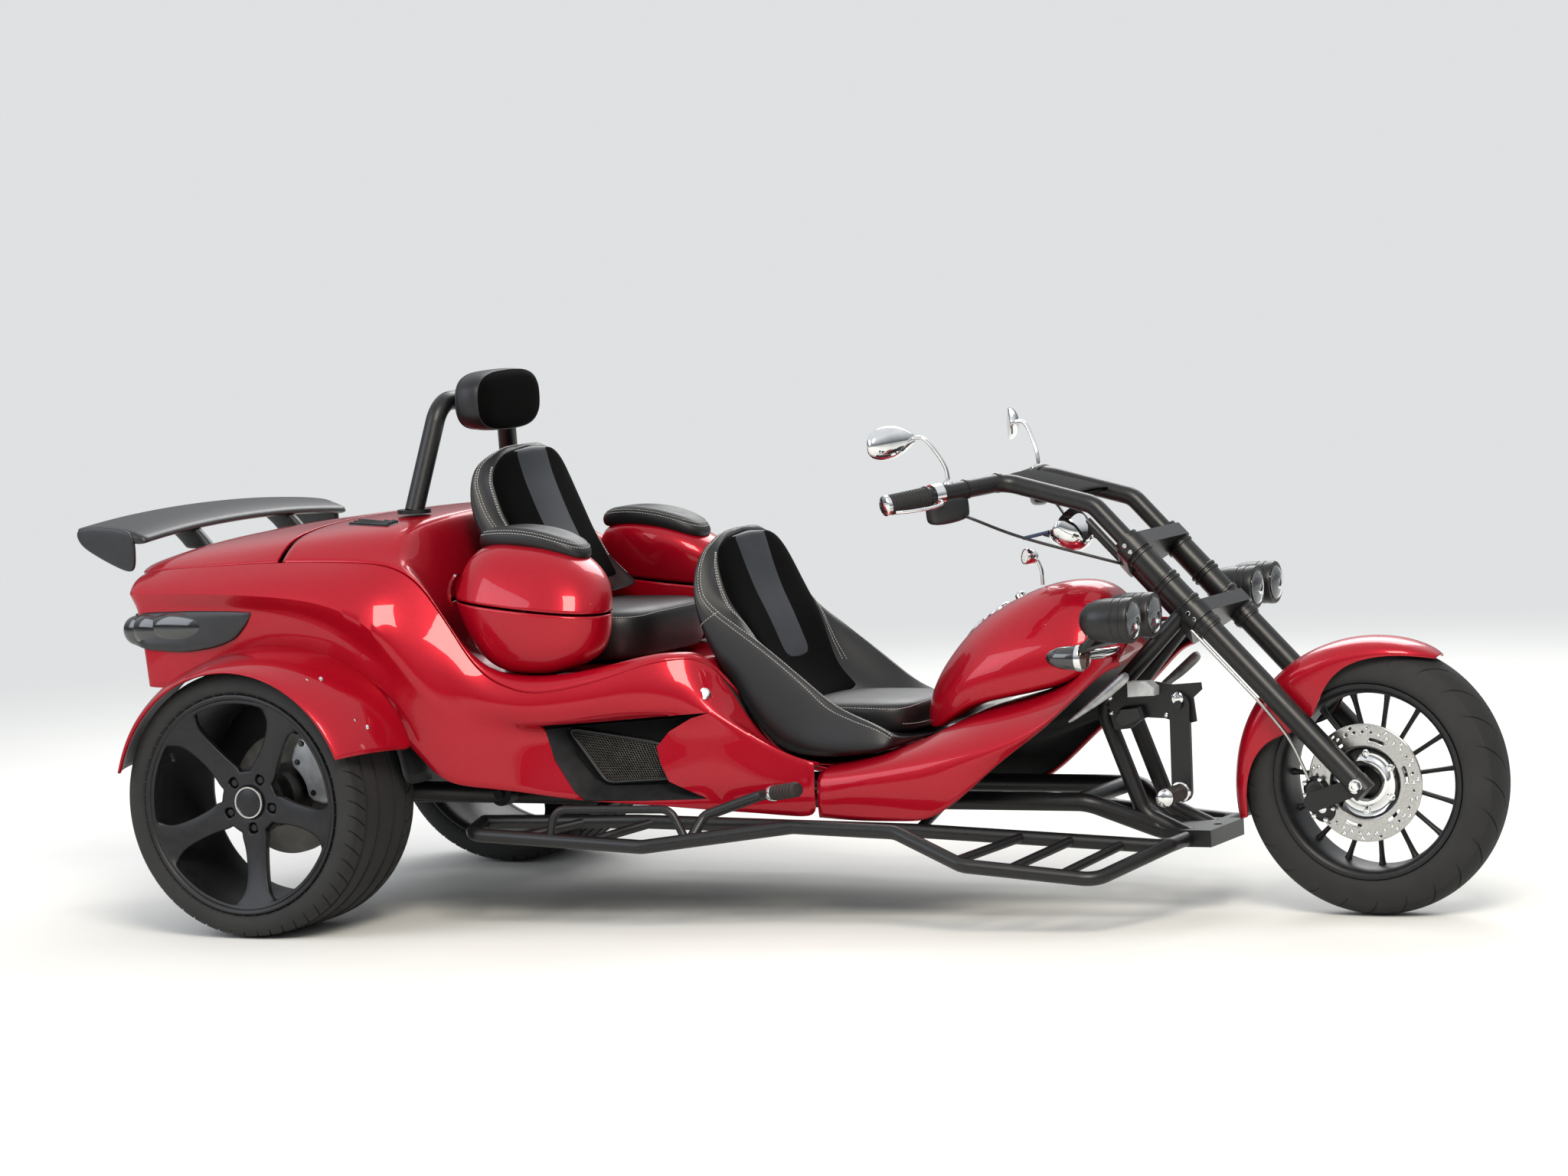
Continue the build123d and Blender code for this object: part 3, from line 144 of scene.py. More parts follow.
def mottledMaterial(name, inputs, *look):  # a principled material with mottled looks
    mat, tree, shader = startMaterial(name, inputs)
    mottle(tree, shader, *look)
    return mat


# candy lacquer: clear coat over a metallic red, deep in shade and bright on the crests
# flake drawn coarse, 3 mm, so that it shows
candyLacquer = mottledMaterial("candy_lacquer",
    {"Metallic": 0.35, "Roughness": 0.34, "Specular IOR Level": 0.1, "Coat Weight": 0.55,
    "Coat Roughness": 0.03}, ("#960419", "#a8071f"), 3.0)

# satin powder coat on steel tube: black with a soft broad sheen
powderCoat = mottledMaterial("powder_coat", {"Specular IOR Level": 0.45}, ("#0b0b0c", "#141415"), 9.0, 5.0,
    (0.32, 0.44), (1.2, 0.12, 0.2))

# moulded satin black ABS with a grey sheen
moldedAbs = mottledMaterial("moulded_abs", {"IOR": 1.53}, ("#121314", "#1a1b1d"), 25.0, 4.0, (0.34, 0.46),
    (0.9, 0.1, 0.15))

# matt painted cast alloy of the wheels
castAlloy = mottledMaterial("painted_cast_alloy", {"Specular IOR Level": 0.4}, ("#0d0d0e", "#17171a"), 14.0,
    5.0, (0.38, 0.52), (0.8, 0.1, 0.15))

# tyre rubber: dark tread, side walls grey with dust
tyreRubber = mottledMaterial("tyre_rubber", {"IOR": 1.52}, ("#111111", "#1b1b1b"), 60.0, 6.0, (0.72, 0.92),
    (1.6, 0.25, 0.4))
wallRubber = mottledMaterial("dusty_side_wall_rubber", {"IOR": 1.52}, ("#191919", "#262625"), 70.0, 6.0,
    (0.75, 0.95), (1.6, 0.2, 0.4))

# upholstery leather: black, grained every 2.5 mm, drawn a little coarse to show
seatLeather, tree, shader = startMaterial("seat_leather", {"IOR": 1.5, "Specular IOR Level": 0.4})
place = addNode(tree, "ShaderNodeTexCoord").outputs["Object"]
grain = addNode(tree, "ShaderNodeTexVoronoi", {"feature": "DISTANCE_TO_EDGE"},
    {"Vector": place, "Scale": 1000 / 2.5})
cloud = addNode(tree, "ShaderNodeTexNoise", None, {"Vector": place, "Scale": 1000 / 80, "Detail": 5.0})
tint = addNode(tree, "ShaderNodeValToRGB", None, {"Fac": cloud.outputs["Fac"]})
for element, colour in zip(tint.color_ramp.elements, ("#0f1011", "#1a1b1d")):
    element.color = hexColour(colour)
tree.links.new(tint.outputs["Color"], shader.inputs["Base Color"])
gloss = addNode(tree, "ShaderNodeMapRange", None, {"Value": cloud.outputs["Fac"], "To Min": 0.38,
    "To Max": 0.52})
tree.links.new(gloss.outputs["Result"], shader.inputs["Roughness"])
relief = addNode(tree, "ShaderNodeBump", None, {"Height": grain.outputs["Distance"], "Strength": 0.22,
    "Distance": 0.0004})
tree.links.new(relief.outputs["Normal"], shader.inputs["Normal"])

# suede insert: black nap that takes no highlight
suedeNap = mottledMaterial("suede_insert", {"Specular IOR Level": 0.06}, ("#030303", "#070707"), 30.0, 6.0,
    (0.88, 0.99), (1.0, 0.3, 0.3))

# smooth stripe leather, dark blue grey
stripeLeather = mottledMaterial("stripe_leather", {"IOR": 1.5}, ("#171b21", "#20252c"), 60.0, 4.0,
    (0.4, 0.52), (2.2, 0.15, 0.3))

# waxed polyester thread, pale grey
seamThread = mottledMaterial("seam_thread", {"Roughness": 0.55}, ("#9a9a98", "#c4c3bf"), 4.0)

# polished chrome plate
chromePlate = mottledMaterial("chrome_plate", {"Metallic": 1.0}, ("#d9dadb", "#e9eaea"), 40.0, 3.0,
    (0.04, 0.1))

# turned steel of the brake discs: fine rings and a grey haze
turnedSteel = mottledMaterial("turned_steel", {"Metallic": 1.0, "Anisotropic": 0.5}, ("#b2b2b0", "#c3c2bf"),
    3.0, 3.0, (0.24, 0.32))

# sand-cast aluminium: pale grey, rough skin
castAluminium = mottledMaterial("cast_aluminium", {"Metallic": 1.0}, ("#8f9091", "#b5b6b6"), 18.0, 5.0,
    (0.32, 0.5), (1.2, 0.25, 0.3))

# smoked polycarbonate lens: near black and glossy
smokedLens = mottledMaterial("smoked_polycarbonate",
    {"IOR": 1.58, "Coat Weight": 0.8, "Coat Roughness": 0.04}, ("#0a0a0b", "#131415"), 30.0, 3.0,
    (0.1, 0.2))

# clear headlamp glass, a thin pane with the dark bowl behind it
lampGlass = mottledMaterial("lamp_glass", {"IOR": 1.5, "Transmission Weight": 1.0, "Roughness": 0.02},
    ("#f4f7f8", "#ffffff"), 30.0)

# red-brown rubber sleeve with a chalky skin
pegRubber = mottledMaterial("peg_rubber", {"IOR": 1.52}, ("#150d0b", "#211512"), 10.0, 4.0, (0.5, 0.7),
    (1.5, 0.2, 0.3))

# grip rubber, black and matt
gripRubber = mottledMaterial("grip_rubber", {"IOR": 1.52}, ("#0e0e0e", "#181818"), 8.0, 4.0, (0.55, 0.75),
    (1.2, 0.25, 0.3))

# dark amber polycarbonate of the turn signals
amberLens = mottledMaterial("amber_polycarbonate", {"IOR": 1.58, "Coat Weight": 0.6, "Coat Roughness": 0.05},
    ("#2c1507", "#43210b"), 12.0, 3.0, (0.12, 0.22))

# reflector bowl of the headlamps: a mirror darkened with painted shade, so that the bowl looks dim
lampReflectorPaintedShade = mottledMaterial("lamp_reflector", {"Metallic": 1.0}, ("#3c4043", "#565b5f"), 25.0, 3.0,
    (0.08, 0.16))

# worn brake steel behind the rear wheels: grey, dull
wornSteel = mottledMaterial("worn_brake_steel", {"Metallic": 1.0}, ("#55534f", "#6a6863"), 30.0, 4.0,
    (0.32, 0.45))

# machined aluminium of the rear calipers: pale, bright
machinedAluminium = mottledMaterial("machined_aluminium", {"Metallic": 0.4}, ("#c4c6c7", "#dcdedf"), 14.0,
    4.0, (0.28, 0.4), (1.2, 0.15, 0.2))

# matt black sheet, no highlight; in the side cavities it is painted shade on the upper walls and the floor
# under the crest
mattSheetAndPaintedShade = mottledMaterial("matt_black_sheet", {"Specular IOR Level": 0.12}, ("#0a0b0b", "#111212"), 20.0,
    4.0, (0.75, 0.9), (1.0, 0.1, 0.2))

# dark screen glass, its base colour tinted blue as a painted reflection, the blue glint on the glass
screenGlassPaintedGlint = mottledMaterial("screen_glass", {"IOR": 1.5, "Coat Weight": 0.7}, ("#0d1c33", "#1b3f6b"), 30.0,
    2.0, (0.08, 0.14))

# enamelled plate, plain white
plateEnamel = mottledMaterial("plate_enamel", {"IOR": 1.5, "Coat Weight": 0.5}, ("#d8d8d4", "#e4e4e0"), 50.0,
    3.0, (0.25, 0.35))

# heat-stained exhaust steel
exhaustSteel = mottledMaterial("exhaust_steel", {"Metallic": 1.0}, ("#6d645b", "#948d85"), 45.0, 5.0,
    (0.3, 0.5), (1.5, 0.15, 0.3))

# slot and material of the finishes used most
redLacquer = ("red_lacquer", candyLacquer)
blackPlastic = ("satin_black_plastic", moldedAbs)
blackCoat = ("black_powder_coat", powderCoat)
blackAlloy = ("black_alloy", castAlloy)
brightChrome = ("bright_chrome", chromePlate)
print("materials ready")


def smoothAlong(table, s):  # values of a table at s, by shape-keeping cubics between its rows
    if s <= table[0][0]:
        return table[0][1:]
    if s >= table[-1][0]:
        return table[-1][1:]
    i = next(k for k in range(len(table) - 1) if table[k][0] <= s <= table[k + 1][0])
    h = table[i + 1][0] - table[i][0]
    t = (s - table[i][0]) / h
    values = []
    for c in range(1, len(table[0])):
        def slopeAt(k):
            if k == 0 or k == len(table) - 1:
                return 0.0
            before = (table[k][c] - table[k - 1][c]) / (table[k][0] - table[k - 1][0])
            after = (table[k + 1][c] - table[k][c]) / (table[k + 1][0] - table[k][0])
            return 0.0 if before * after <= 0 else 2 * before * after / (before + after)
        m0, m1 = slopeAt(i) * h, slopeAt(i + 1) * h
        a, b = table[i][c], table[i + 1][c]
        values.append((2 * t**3 - 3 * t**2 + 1) * a + (t**3 - 2 * t**2 + t) * m0
                      + (3 * t**2 - 2 * t**3) * b + (t**3 - t**2) * m1)
    return tuple(values)


def gridFaces(rows, columns, wrap=False):
    faces = []
    for r in range(rows - 1):
        for c in range(columns if wrap else columns - 1):
            d = (c + 1) % columns
            faces.append((r * columns + c, r * columns + d, (r + 1) * columns + d, (r + 1) * columns + c))
    return faces


def addPiece(name, verts, faces, body, slotName, material, replaced=(), levels=2, shell=0.0, creases=None,
        flip=False, sharp=None, others=(), pick=None, lining=None):
    mesh = bpy.data.meshes.new(name)
    mesh.from_pydata([tuple(v) for v in verts], [], [tuple(reversed(f)) if flip else f for f in faces])
    work = bmesh.new()
    work.from_mesh(mesh)
    work.faces.ensure_lookup_table()
    if not shell:
        bmesh.ops.recalc_face_normals(work, faces=work.faces)
    if creases:
        layer = work.edges.layers.float.new("crease_edge")
        work.verts.ensure_lookup_table()
        for a, b, weight in creases:
            edge = work.edges.get((work.verts[a], work.verts[b]))
            if edge:
                edge[layer] = weight
    for face in work.faces:
        face.smooth = True
        if pick:
            face.material_index = pick(face.index)
    work.to_mesh(mesh)
    work.free()
    piece = addObject(name, mesh)
    for finish in (material, *others):
        mesh.materials.append(finish)
    if lining:
        mesh.materials.append(lining)
    if sharp:
        mesh.set_sharp_from_angle(angle=radians(sharp))
    if shell:
        skin = piece.modifiers.new("skin", "SOLIDIFY")
        skin.thickness, skin.offset, skin.use_even_offset = shell / 1000, -1.0, False
        skin.edge_crease_outer = skin.edge_crease_inner = 0.8
        skin.material_offset = 1 if lining else 0
    if levels:
        soft = piece.modifiers.new("soft", "SUBSURF")
        soft.levels = soft.render_levels = levels
    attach(piece, body)
    if replaced:
        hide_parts(*replaced)
    return piece


def rowCreases(row, columns, sharp, wrap=False):  # creases along one row of a grid
    return [(row * columns + c, row * columns + (c + 1) % columns, sharp)
        for c in range(columns if wrap else columns - 1)]


def columnCreases(column, rows, columns, sharp):
    return [(r * columns + column, (r + 1) * columns + column, sharp) for r in range(rows - 1)]


def pairCreases(column, rows, columns, sharp):  # creases on a column and on its twin across the middle
    twin = columns - 1 - column
    return columnCreases(column, rows, columns, sharp) + columnCreases(twin, rows, columns, sharp)


# points and faces of a profile (along, radius) turned about an axis
def turned(profile, centre, axis, count):
    axis = axis.normalized()
    across = axis.orthogonal().normalized()
    third = axis.cross(across)
    verts = []
    for i in range(count):
        angle = 2 * pi * i / count
        out = across * cos(angle) + third * sin(angle)
        verts += [centre + axis * (a / 1000) + out * (r / 1000) for a, r in profile]
    columns = len(profile)
    faces = [(i * columns + c, i * columns + c + 1, (i + 1) % count * columns + c + 1,
        (i + 1) % count * columns + c) for i in range(count) for c in range(columns - 1)]
    return verts, faces


def closedFaces(rows, columns):  # a grid wrapped round, with both ends closed
    last = (rows - 1) * columns
    ends = [tuple(range(columns - 1, -1, -1)), tuple(range(last, last + columns))]
    return gridFaces(rows, columns, True) + ends


def loftSet(sections):  # a closed skin over rings of points
    return [p for ring in sections for p in ring], closedFaces(len(sections), len(sections[0]))


def joinSets(*sets):  # one mesh from several sets of points and faces
    verts, faces = [], []
    for v, f in sets:
        faces += [tuple(i + len(verts) for i in face) for face in f]
        verts += v
    return verts, faces


# turned and bent bits as one piece
def addHard(name, sets, body, slotName, material, replaced=(), sharp=40):
    return addPiece(name, *joinSets(*sets), body, slotName, material, replaced, 0, sharp=sharp)


def mirrored(verts, faces):  # the other side of the trike
    return [flipSide(v) for v in verts], [tuple(reversed(f)) for f in faces]


def tubeSet(points, radius, sides=10, closed=False):  # a round tube through points in metres
    count = len(points)
    verts, previous = [], None
    for i, point in enumerate(points):
        if closed:
            way = points[(i + 1) % count] - points[i - 1]
        else:
            way = points[min(i + 1, count - 1)] - points[max(i - 1, 0)]
        way.normalize()
        side = way.orthogonal() if previous is None else previous - way * previous.dot(way)
        side.normalize()
        previous = side
        third = way.cross(side)
        r = radius[i] if isinstance(radius, (list, tuple)) else radius
        verts += [point + (side * cos(2 * pi * k / sides) + third * sin(2 * pi * k / sides)) * (r / 1000)
            for k in range(sides)]
    faces = gridFaces(count, sides, True)
    if closed:
        last = (count - 1) * sides
        faces += [(last + k, last + (k + 1) % sides, (k + 1) % sides, k) for k in range(sides)]
    else:
        faces += [tuple(range(sides)), tuple(range(count * sides - 1, (count - 1) * sides - 1, -1))]
    return verts, faces


def loopPoints(corners, steps):  # even points round a loop of corners
    return [a.lerp(b, k / steps) for a, b in zip(corners, corners[1:] + corners[:1]) for k in range(steps)]


def dashSet(points, length, gap, width):  # stitches: short threads laid along a line
    verts, faces = [], []
    total, spans = 0.0, []
    for a, b in zip(points, points[1:]):
        spans.append((total, (b - a).length, a, b))
        total += (b - a).length
    pitch = (length + gap) / 1000
    for i in range(int(total / pitch)):
        ends = []
        for d in (i * pitch, i * pitch + length / 1000):
            k = next((s for s in spans if s[0] <= d <= s[0] + s[1]), spans[-1])
            ends.append(k[2].lerp(k[3], min(1.0, (d - k[0]) / max(k[1], 1e-9))))
        middle = (ends[0] + ends[1]) / 2
        bit = tubeSet([ends[0], middle, ends[1]], [width * 0.3, width * 0.5, width * 0.3], 6)
        faces += [tuple(v + len(verts) for v in f) for f in bit[1]]
        verts += bit[0]
    return verts, faces


# stage: pale floor that melts into the backdrop, soft lamps, even world
stageLook = {"floor": "#e4e4e0", "floorSize": 60.0, "backdrop": "#dfe1e2", "world": "#f6f8fb",
    "horizon": "#5d6366", "worldStrength": 1.0, "near": 3.2, "far": 8.0}
floorPaper, tree, shader = startMaterial("floor_paper", {"Roughness": 0.9, "Specular IOR Level": 0.1})
mottle(tree, shader, ("#dededa", stageLook["floor"]), 900.0)
place = addNode(tree, "ShaderNodeTexCoord").outputs["Object"]
away = addNode(tree, "ShaderNodeVectorMath", {"operation": "LENGTH"}, {0: place}).outputs["Value"]
melt = addNode(tree, "ShaderNodeMapRange", {"interpolation_type": "SMOOTHSTEP"},
    {"Value": away, "From Min": stageLook["near"], "From Max": stageLook["far"]})
rays = addNode(tree, "ShaderNodeLightPath").outputs
seen = addNode(tree, "ShaderNodeMath", {"operation": "MAXIMUM"},
    {0: rays["Is Camera Ray"], 1: rays["Is Transmission Ray"]}).outputs[0]
share = addNode(tree, "ShaderNodeMath", {"operation": "MULTIPLY"},
    {0: seen, 1: melt.outputs["Result"]}).outputs[0]
pale = addNode(tree, "ShaderNodeEmission", None, {"Color": hexColour(stageLook["backdrop"])})
mixed = addNode(tree, "ShaderNodeMixShader", None,
    {0: share, 1: shader.outputs["BSDF"], 2: pale.outputs["Emission"]})
tree.links.new(mixed.outputs["Shader"], tree.nodes["Material Output"].inputs["Surface"])
half = stageLook["floorSize"]
mesh = bpy.data.meshes.new("floor")
mesh.from_pydata([(-half, -half, -0.001), (half, -half, -0.001), (half, half, -0.001),
    (-half, half, -0.001)], [], [(0, 1, 2, 3)])
floor = addObject("floor", mesh)
mesh.materials.append(floorPaper)
floor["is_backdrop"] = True

world = bpy.data.worlds.new("studio")
bpy.context.scene.world = world
world.use_nodes = True
tree = world.node_tree
lit = tree.nodes["Background"]
lit.inputs["Strength"].default_value = stageLook["worldStrength"]
place = addNode(tree, "ShaderNodeTexCoord").outputs["Generated"]
height = addNode(tree, "ShaderNodeSeparateXYZ", None, {"Vector": place}).outputs["Z"]
sky = addNode(tree, "ShaderNodeValToRGB", None, {"Fac": height})
sky.color_ramp.elements[0].color = hexColour(stageLook["horizon"])
sky.color_ramp.elements[1].color = hexColour(stageLook["world"])
sky.color_ramp.elements[1].position = 0.55
tree.links.new(sky.outputs["Color"], lit.inputs["Color"])
rays = addNode(tree, "ShaderNodeLightPath").outputs
seen = addNode(tree, "ShaderNodeMath", {"operation": "MAXIMUM"},
    {0: rays["Is Camera Ray"], 1: rays["Is Transmission Ray"]}).outputs[0]
pale = addNode(tree, "ShaderNodeBackground", None, {"Color": hexColour(stageLook["backdrop"]),
    "Strength": 1.0})
mixed = addNode(tree, "ShaderNodeMixShader", None, {0: seen, 1: lit.outputs["Background"],
    2: pale.outputs["Background"]})
tree.links.new(mixed.outputs["Shader"], tree.nodes["World Output"].inputs["Surface"])
lamps = {
    # name: place m, size m, power W, tone
    "key_lamp": ((3.5, -5.5, 6.0), 3.0, 520, "#fff6e8"),
    "fill_lamp": ((-4.5, -5.0, 3.5), 4.0, 160, "#eef3ff"),
    "back_lamp": ((-1.0, 5.5, 5.0), 4.0, 260, "#ffffff"),
}
for name, (place, size, power, tone) in lamps.items():
    light = bpy.data.lights.new(name, "AREA")
    light.energy, light.size, light.color = power, size, hexColour(tone)[:3]
    lamp = addObject(name, light)
    lamp.location = place
    lamp.rotation_euler = (Vector((0, 0, 0.5)) - Vector(place)).to_track_quat("-Z", "Y").to_euler()

view = {"place": (5.16725, -10.65116, 1.74287), "right": (0.898608, 0.436176, -0.047471),
    "up": (0.006956, 0.094019, 0.995546), "lens": 111.19}
camera = addObject("camera", bpy.data.cameras.new("camera"))
camera.data.lens, camera.data.sensor_width = view["lens"], 36.0
camera.data.clip_end = 200.0
right = Vector(view["right"]).normalized()
back = right.cross(Vector(view["up"])).normalized()
turn = Matrix((right, back.cross(right), back)).transposed().to_4x4()
camera.matrix_world = Matrix.Translation(view["place"]) @ turn
bpy.context.scene.camera = camera
bpy.context.scene.view_settings.view_transform = "Standard"
print("stage ready")

# finishes of the CAD pieces
finishes = {
    powderCoat: ("frame", "fork", "handlebar", "roll_bar", "brake_pedal", "front_caliper", "headlamps",
                 "running_board_right", "running_board_left", "rear_arm_right", "rear_arm_left"),
    candyLacquer: ("body_tub", "trunk_lid", "front_cowl", "fuel_tank", "front_fender", "rear_fender_right",
                   "rear_fender_left", "pod_bin_right", "pod_bin_left", "pod_lid_right", "pod_lid_left"),
    moldedAbs: ("spoiler", "side_grille_right", "side_grille_left"),
    seatLeather: ("driver_seat", "passenger_cushion", "passenger_back", "headrest",
                  "armrest_pad_right", "armrest_pad_left"),
    tyreRubber: ("front_tyre", "rear_tyre_right", "rear_tyre_left"),
    castAlloy: ("front_rim", "rear_rim_right", "rear_rim_left"),
    castAluminium: ("engine",),
    chromePlate: ("fuel_cap",),
    machinedAluminium: ("rear_caliper_right", "rear_caliper_left"),
    gripRubber: ("grip_right", "grip_left"),
    exhaustSteel: ("muffler",),
    smokedLens: ("tail_lamp_right", "tail_lamp_left"),
    plateEnamel: ("number_plate",),
    turnedSteel: ("brake_hose",),
    wornSteel: ("rear_hub_right", "rear_hub_left"),
}
for material, names in finishes.items():
    for name in names:
        nodes[name].data.materials.clear()
        nodes[name].data.materials.append(material)

# body: side shells below the shoulder seam, deck and recess above it, and the trunk lid
# ahead, half width, height
seamLine = ((-400, 545, 874), (-320, 556, 882), (-180, 566, 890), (24, 562, 897), (159, 550, 895),
    (279, 535, 887), (338, 522, 865), (382, 515, 827), (420, 513, 775), (459, 512, 719), (497, 511, 656),
    (542, 508, 608), (603, 502, 580), (652, 495, 566), (751, 475, 577), (866, 450, 606), (976, 412, 640),
    (1050, 360, 640), (1100, 308, 570), (1150, 306, 485), (1203, 306, 425), (1255, 306, 396),
    (1335, 312, 384))
bandLine = ((-400, 586, 845), (-320, 600, 856), (24, 616, 860), (159, 612, 855), (279, 604, 826),
    (338, 594, 784), (382, 578, 730), (420, 562, 684), (459, 550, 640), (497, 542, 592), (542, 534, 560),
    (603, 518, 538), (652, 504, 528), (751, 486, 536), (866, 466, 556), (976, 438, 576), (1050, 405, 576),
    (1100, 368, 530), (1150, 348, 470), (1203, 340, 425), (1255, 334, 400), (1335, 332, 378))
crestLine = ((-400, 600, 815), (-340, 622, 827), (-180, 640, 828), (-46, 646, 824), (126, 646, 810),
    (257, 640, 770), (324, 628, 713), (373, 604, 644), (403, 588, 598), (452, 562, 548), (534, 524, 510),
    (600, 500, 496), (676, 484, 490), (767, 466, 499), (858, 450, 510), (974, 430, 516), (1063, 408, 516),
    (1122, 388, 500), (1200, 366, 452), (1335, 344, 392))
underLine = ((-400, 588, 776), (-369, 600, 784), (-201, 612, 789), (-49, 617, 785), (106, 617, 768),
    (220, 612, 723), (270, 604, 684), (330, 598, 648), (373, 588, 606), (403, 576, 570), (452, 554, 510),
    (534, 514, 482), (600, 486, 472), (676, 444, 468), (767, 428, 476), (858, 412, 486), (974, 396, 492),
    (1063, 390, 486), (1122, 384, 462), (1200, 366, 410), (1335, 346, 352))
panelLine = ((-400, 602, 690), (-360, 620, 690), (-200, 618, 716), (0, 618, 728), (106, 616, 714),
    (220, 608, 660), (300, 596, 588), (373, 574, 520), (452, 550, 440), (534, 516, 406), (600, 488, 398),
    (676, 454, 386), (767, 442, 386), (858, 430, 388), (974, 412, 384), (1063, 402, 374), (1122, 394, 360),
    (1200, 378, 334), (1335, 350, 300))
hemLine = ((-400, 598, 606), (-360, 616, 598), (-320, 612, 588), (-250, 606, 606), (-100, 602, 662),
    (0, 601, 674), (100, 600, 662), (220, 597, 602), (300, 588, 520), (373, 568, 430), (448, 545, 354),
    (534, 514, 338), (614, 484, 326), (700, 466, 312), (773, 454, 303), (900, 424, 292), (1060, 392, 277),
    (1200, 364, 265), (1335, 336, 253))
shoulderLine = ((-400, 505, 898), (-320, 514, 908), (-180, 520, 918), (24, 518, 930), (159, 506, 930),
    (240, 498, 922), (300, 492, 902), (338, 490, 876), (382, 488, 832), (438, 488, 740), (498, 487, 672),
    (555, 480, 626), (622, 470, 603), (722, 450, 614), (822, 428, 636), (897, 402, 656), (976, 372, 664),
    (1040, 330, 655), (1063, 310, 630), (1100, 282, 545), (1150, 270, 455), (1203, 262, 400),
    (1335, 258, 380))
deckLine = ((-400, 400, 907), (-320, 420, 927), (-180, 440, 944), (24, 450, 960), (159, 440, 970),
    (240, 430, 970), (285, 425, 962), (300, 425, 935), (338, 430, 830), (382, 440, 700), (420, 445, 640),
    (459, 450, 622), (497, 450, 615), (555, 448, 609), (622, 440, 604), (722, 415, 604), (822, 390, 608),
    (897, 360, 620), (976, 330, 634), (1030, 300, 636), (1063, 280, 560), (1100, 262, 440), (1150, 262, 384),
    (1203, 270, 376), (1335, 280, 374))
innerLine = ((-400, 200, 911), (-320, 220, 936), (-180, 240, 957), (24, 250, 977), (159, 250, 987),
    (240, 250, 988), (285, 250, 986), (300, 250, 972), (338, 250, 830), (382, 250, 622), (420, 250, 606),
    (897, 240, 606), (976, 230, 624), (1030, 220, 634), (1063, 200, 545), (1100, 180, 390), (1150, 180, 372),
    (1335, 180, 370))
middleLine = tuple((s, 0, z + (4 if s < 290 else 0)) for s, y, z in innerLine)
tailLean = ((590, -385), (606, -388), (690, -436), (780, -462), (850, -476), (880, -476), (920, -440))
bodyLook = {"skin": 6.0, "seam": 5.0, "lidFront": 2.0, "deckRear": 17.0, "tailTurn": 72.0,
    "tailCorner": -358}
sideStations = [-350, -300, -240, -170, -90, 0, 80, 150, 210, 260, 300, 335, 365, 395, 425, 460, 500, 545,
    595, 650, 710, 780, 860, 935, 1000, 1045, 1080, 1115, 1155, 1205, 1265, 1334]
# share of the half width, from the middle of the tail to its corner
tailTurns = (0.0, 0.3, 0.6, 0.82, 0.94, 0.99)


def tailPoint(share, half, up):  # the tail leans back with height and turns round its corners
    lean = smoothAlong(tailLean, up)[0]
    turn = min(bodyLook["tailTurn"], bodyLook["tailCorner"] - lean)
    return spot(lean + turn * share**3.2, -half * share, up)


sideLines = (seamLine, bandLine, crestLine, underLine, panelLine, hemLine)
sideVerts = []
for share in tailTurns:
    ends = [smoothAlong(line, sideStations[0]) for line in sideLines]
    lip = tailPoint(share, ends[0][0] - 14, ends[0][1] - 26)
    sideVerts += [lip, tailPoint(share, ends[0][0] - 2, ends[0][1] - 12)]
    sideVerts += [tailPoint(share, half, up) for half, up in ends[1:]]
for s in sideStations:
    ends = [smoothAlong(line, s) for line in sideLines]
    sideVerts += [spot(s, -(ends[0][0] - 9), ends[0][1] - 14)] + [spot(s, -half, up) for half, up in ends]
rows, columns = len(tailTurns) + len(sideStations), 7
sideFaces = gridFaces(rows, columns)
creases = columnCreases(1, rows, columns, 0.7)
for r in range(rows - 1):
    s = sideStations[r - len(tailTurns)] if r >= len(tailTurns) else -400
    if s < 330 or s > 560:
        upper, lower = (0.55, 0.45) if s < 330 else (0.75, 0.3) if s < 1000 else (0.2, 0.0)
        creases.append((r * columns + 3, (r + 1) * columns + 3, upper))
        creases.append((r * columns + 4, (r + 1) * columns + 4, lower))
sideSet = (sideVerts, sideFaces)
leftSet = mirrored(*sideSet)
verts, faces = joinSets(sideSet, leftSet)
creases += [(a + len(sideVerts), b + len(sideVerts), c) for a, b, c in creases]
sideShells = addPiece("body_side_shells", verts, faces, "chassis", *redLacquer, ("body_tub",), 2,
    bodyLook["skin"], creases, lining=moldedAbs)

topLines = (seamLine, shoulderLine, deckLine, innerLine, middleLine)


def topRow(s):  # points across the deck at one station, right edge to left edge
    values = [smoothAlong(line, s) for line in topLines]
    edge = (values[0][0] - bodyLook["seam"], values[0][1] + 1.5)
    half = [(edge[0] - 5, edge[1] - 16), edge] + list(values[1:])
    tuck = min(1.0, max(0.0, (s - 1050) / 60))
    half[:3] = [(y - 48 * tuck, z - 22 * tuck) for y, z in half[:3]]
    return bothSides([spot(s, -y, z) for y, z in half])


deckStations = [bodyLook["deckRear"], 60, 110, 160, 200, 240, 275, 292, 304, 318, 335, 355, 375, 395, 420,
    450, 490, 535, 590, 650, 710, 780, 850, 910, 965, 1010, 1035, 1058, 1080, 1105, 1140, 1190, 1250, 1334]
verts = []
for s in deckStations:
    verts += topRow(s)
columns = len(topRow(0))
creases = pairCreases(1, len(deckStations), columns, 0.7) + rowCreases(0, columns, 1.0)
deckSkin = addPiece("body_deck", verts, gridFaces(len(deckStations), columns), "chassis", *redLacquer, (), 2,
    bodyLook["skin"], creases, True, lining=moldedAbs)

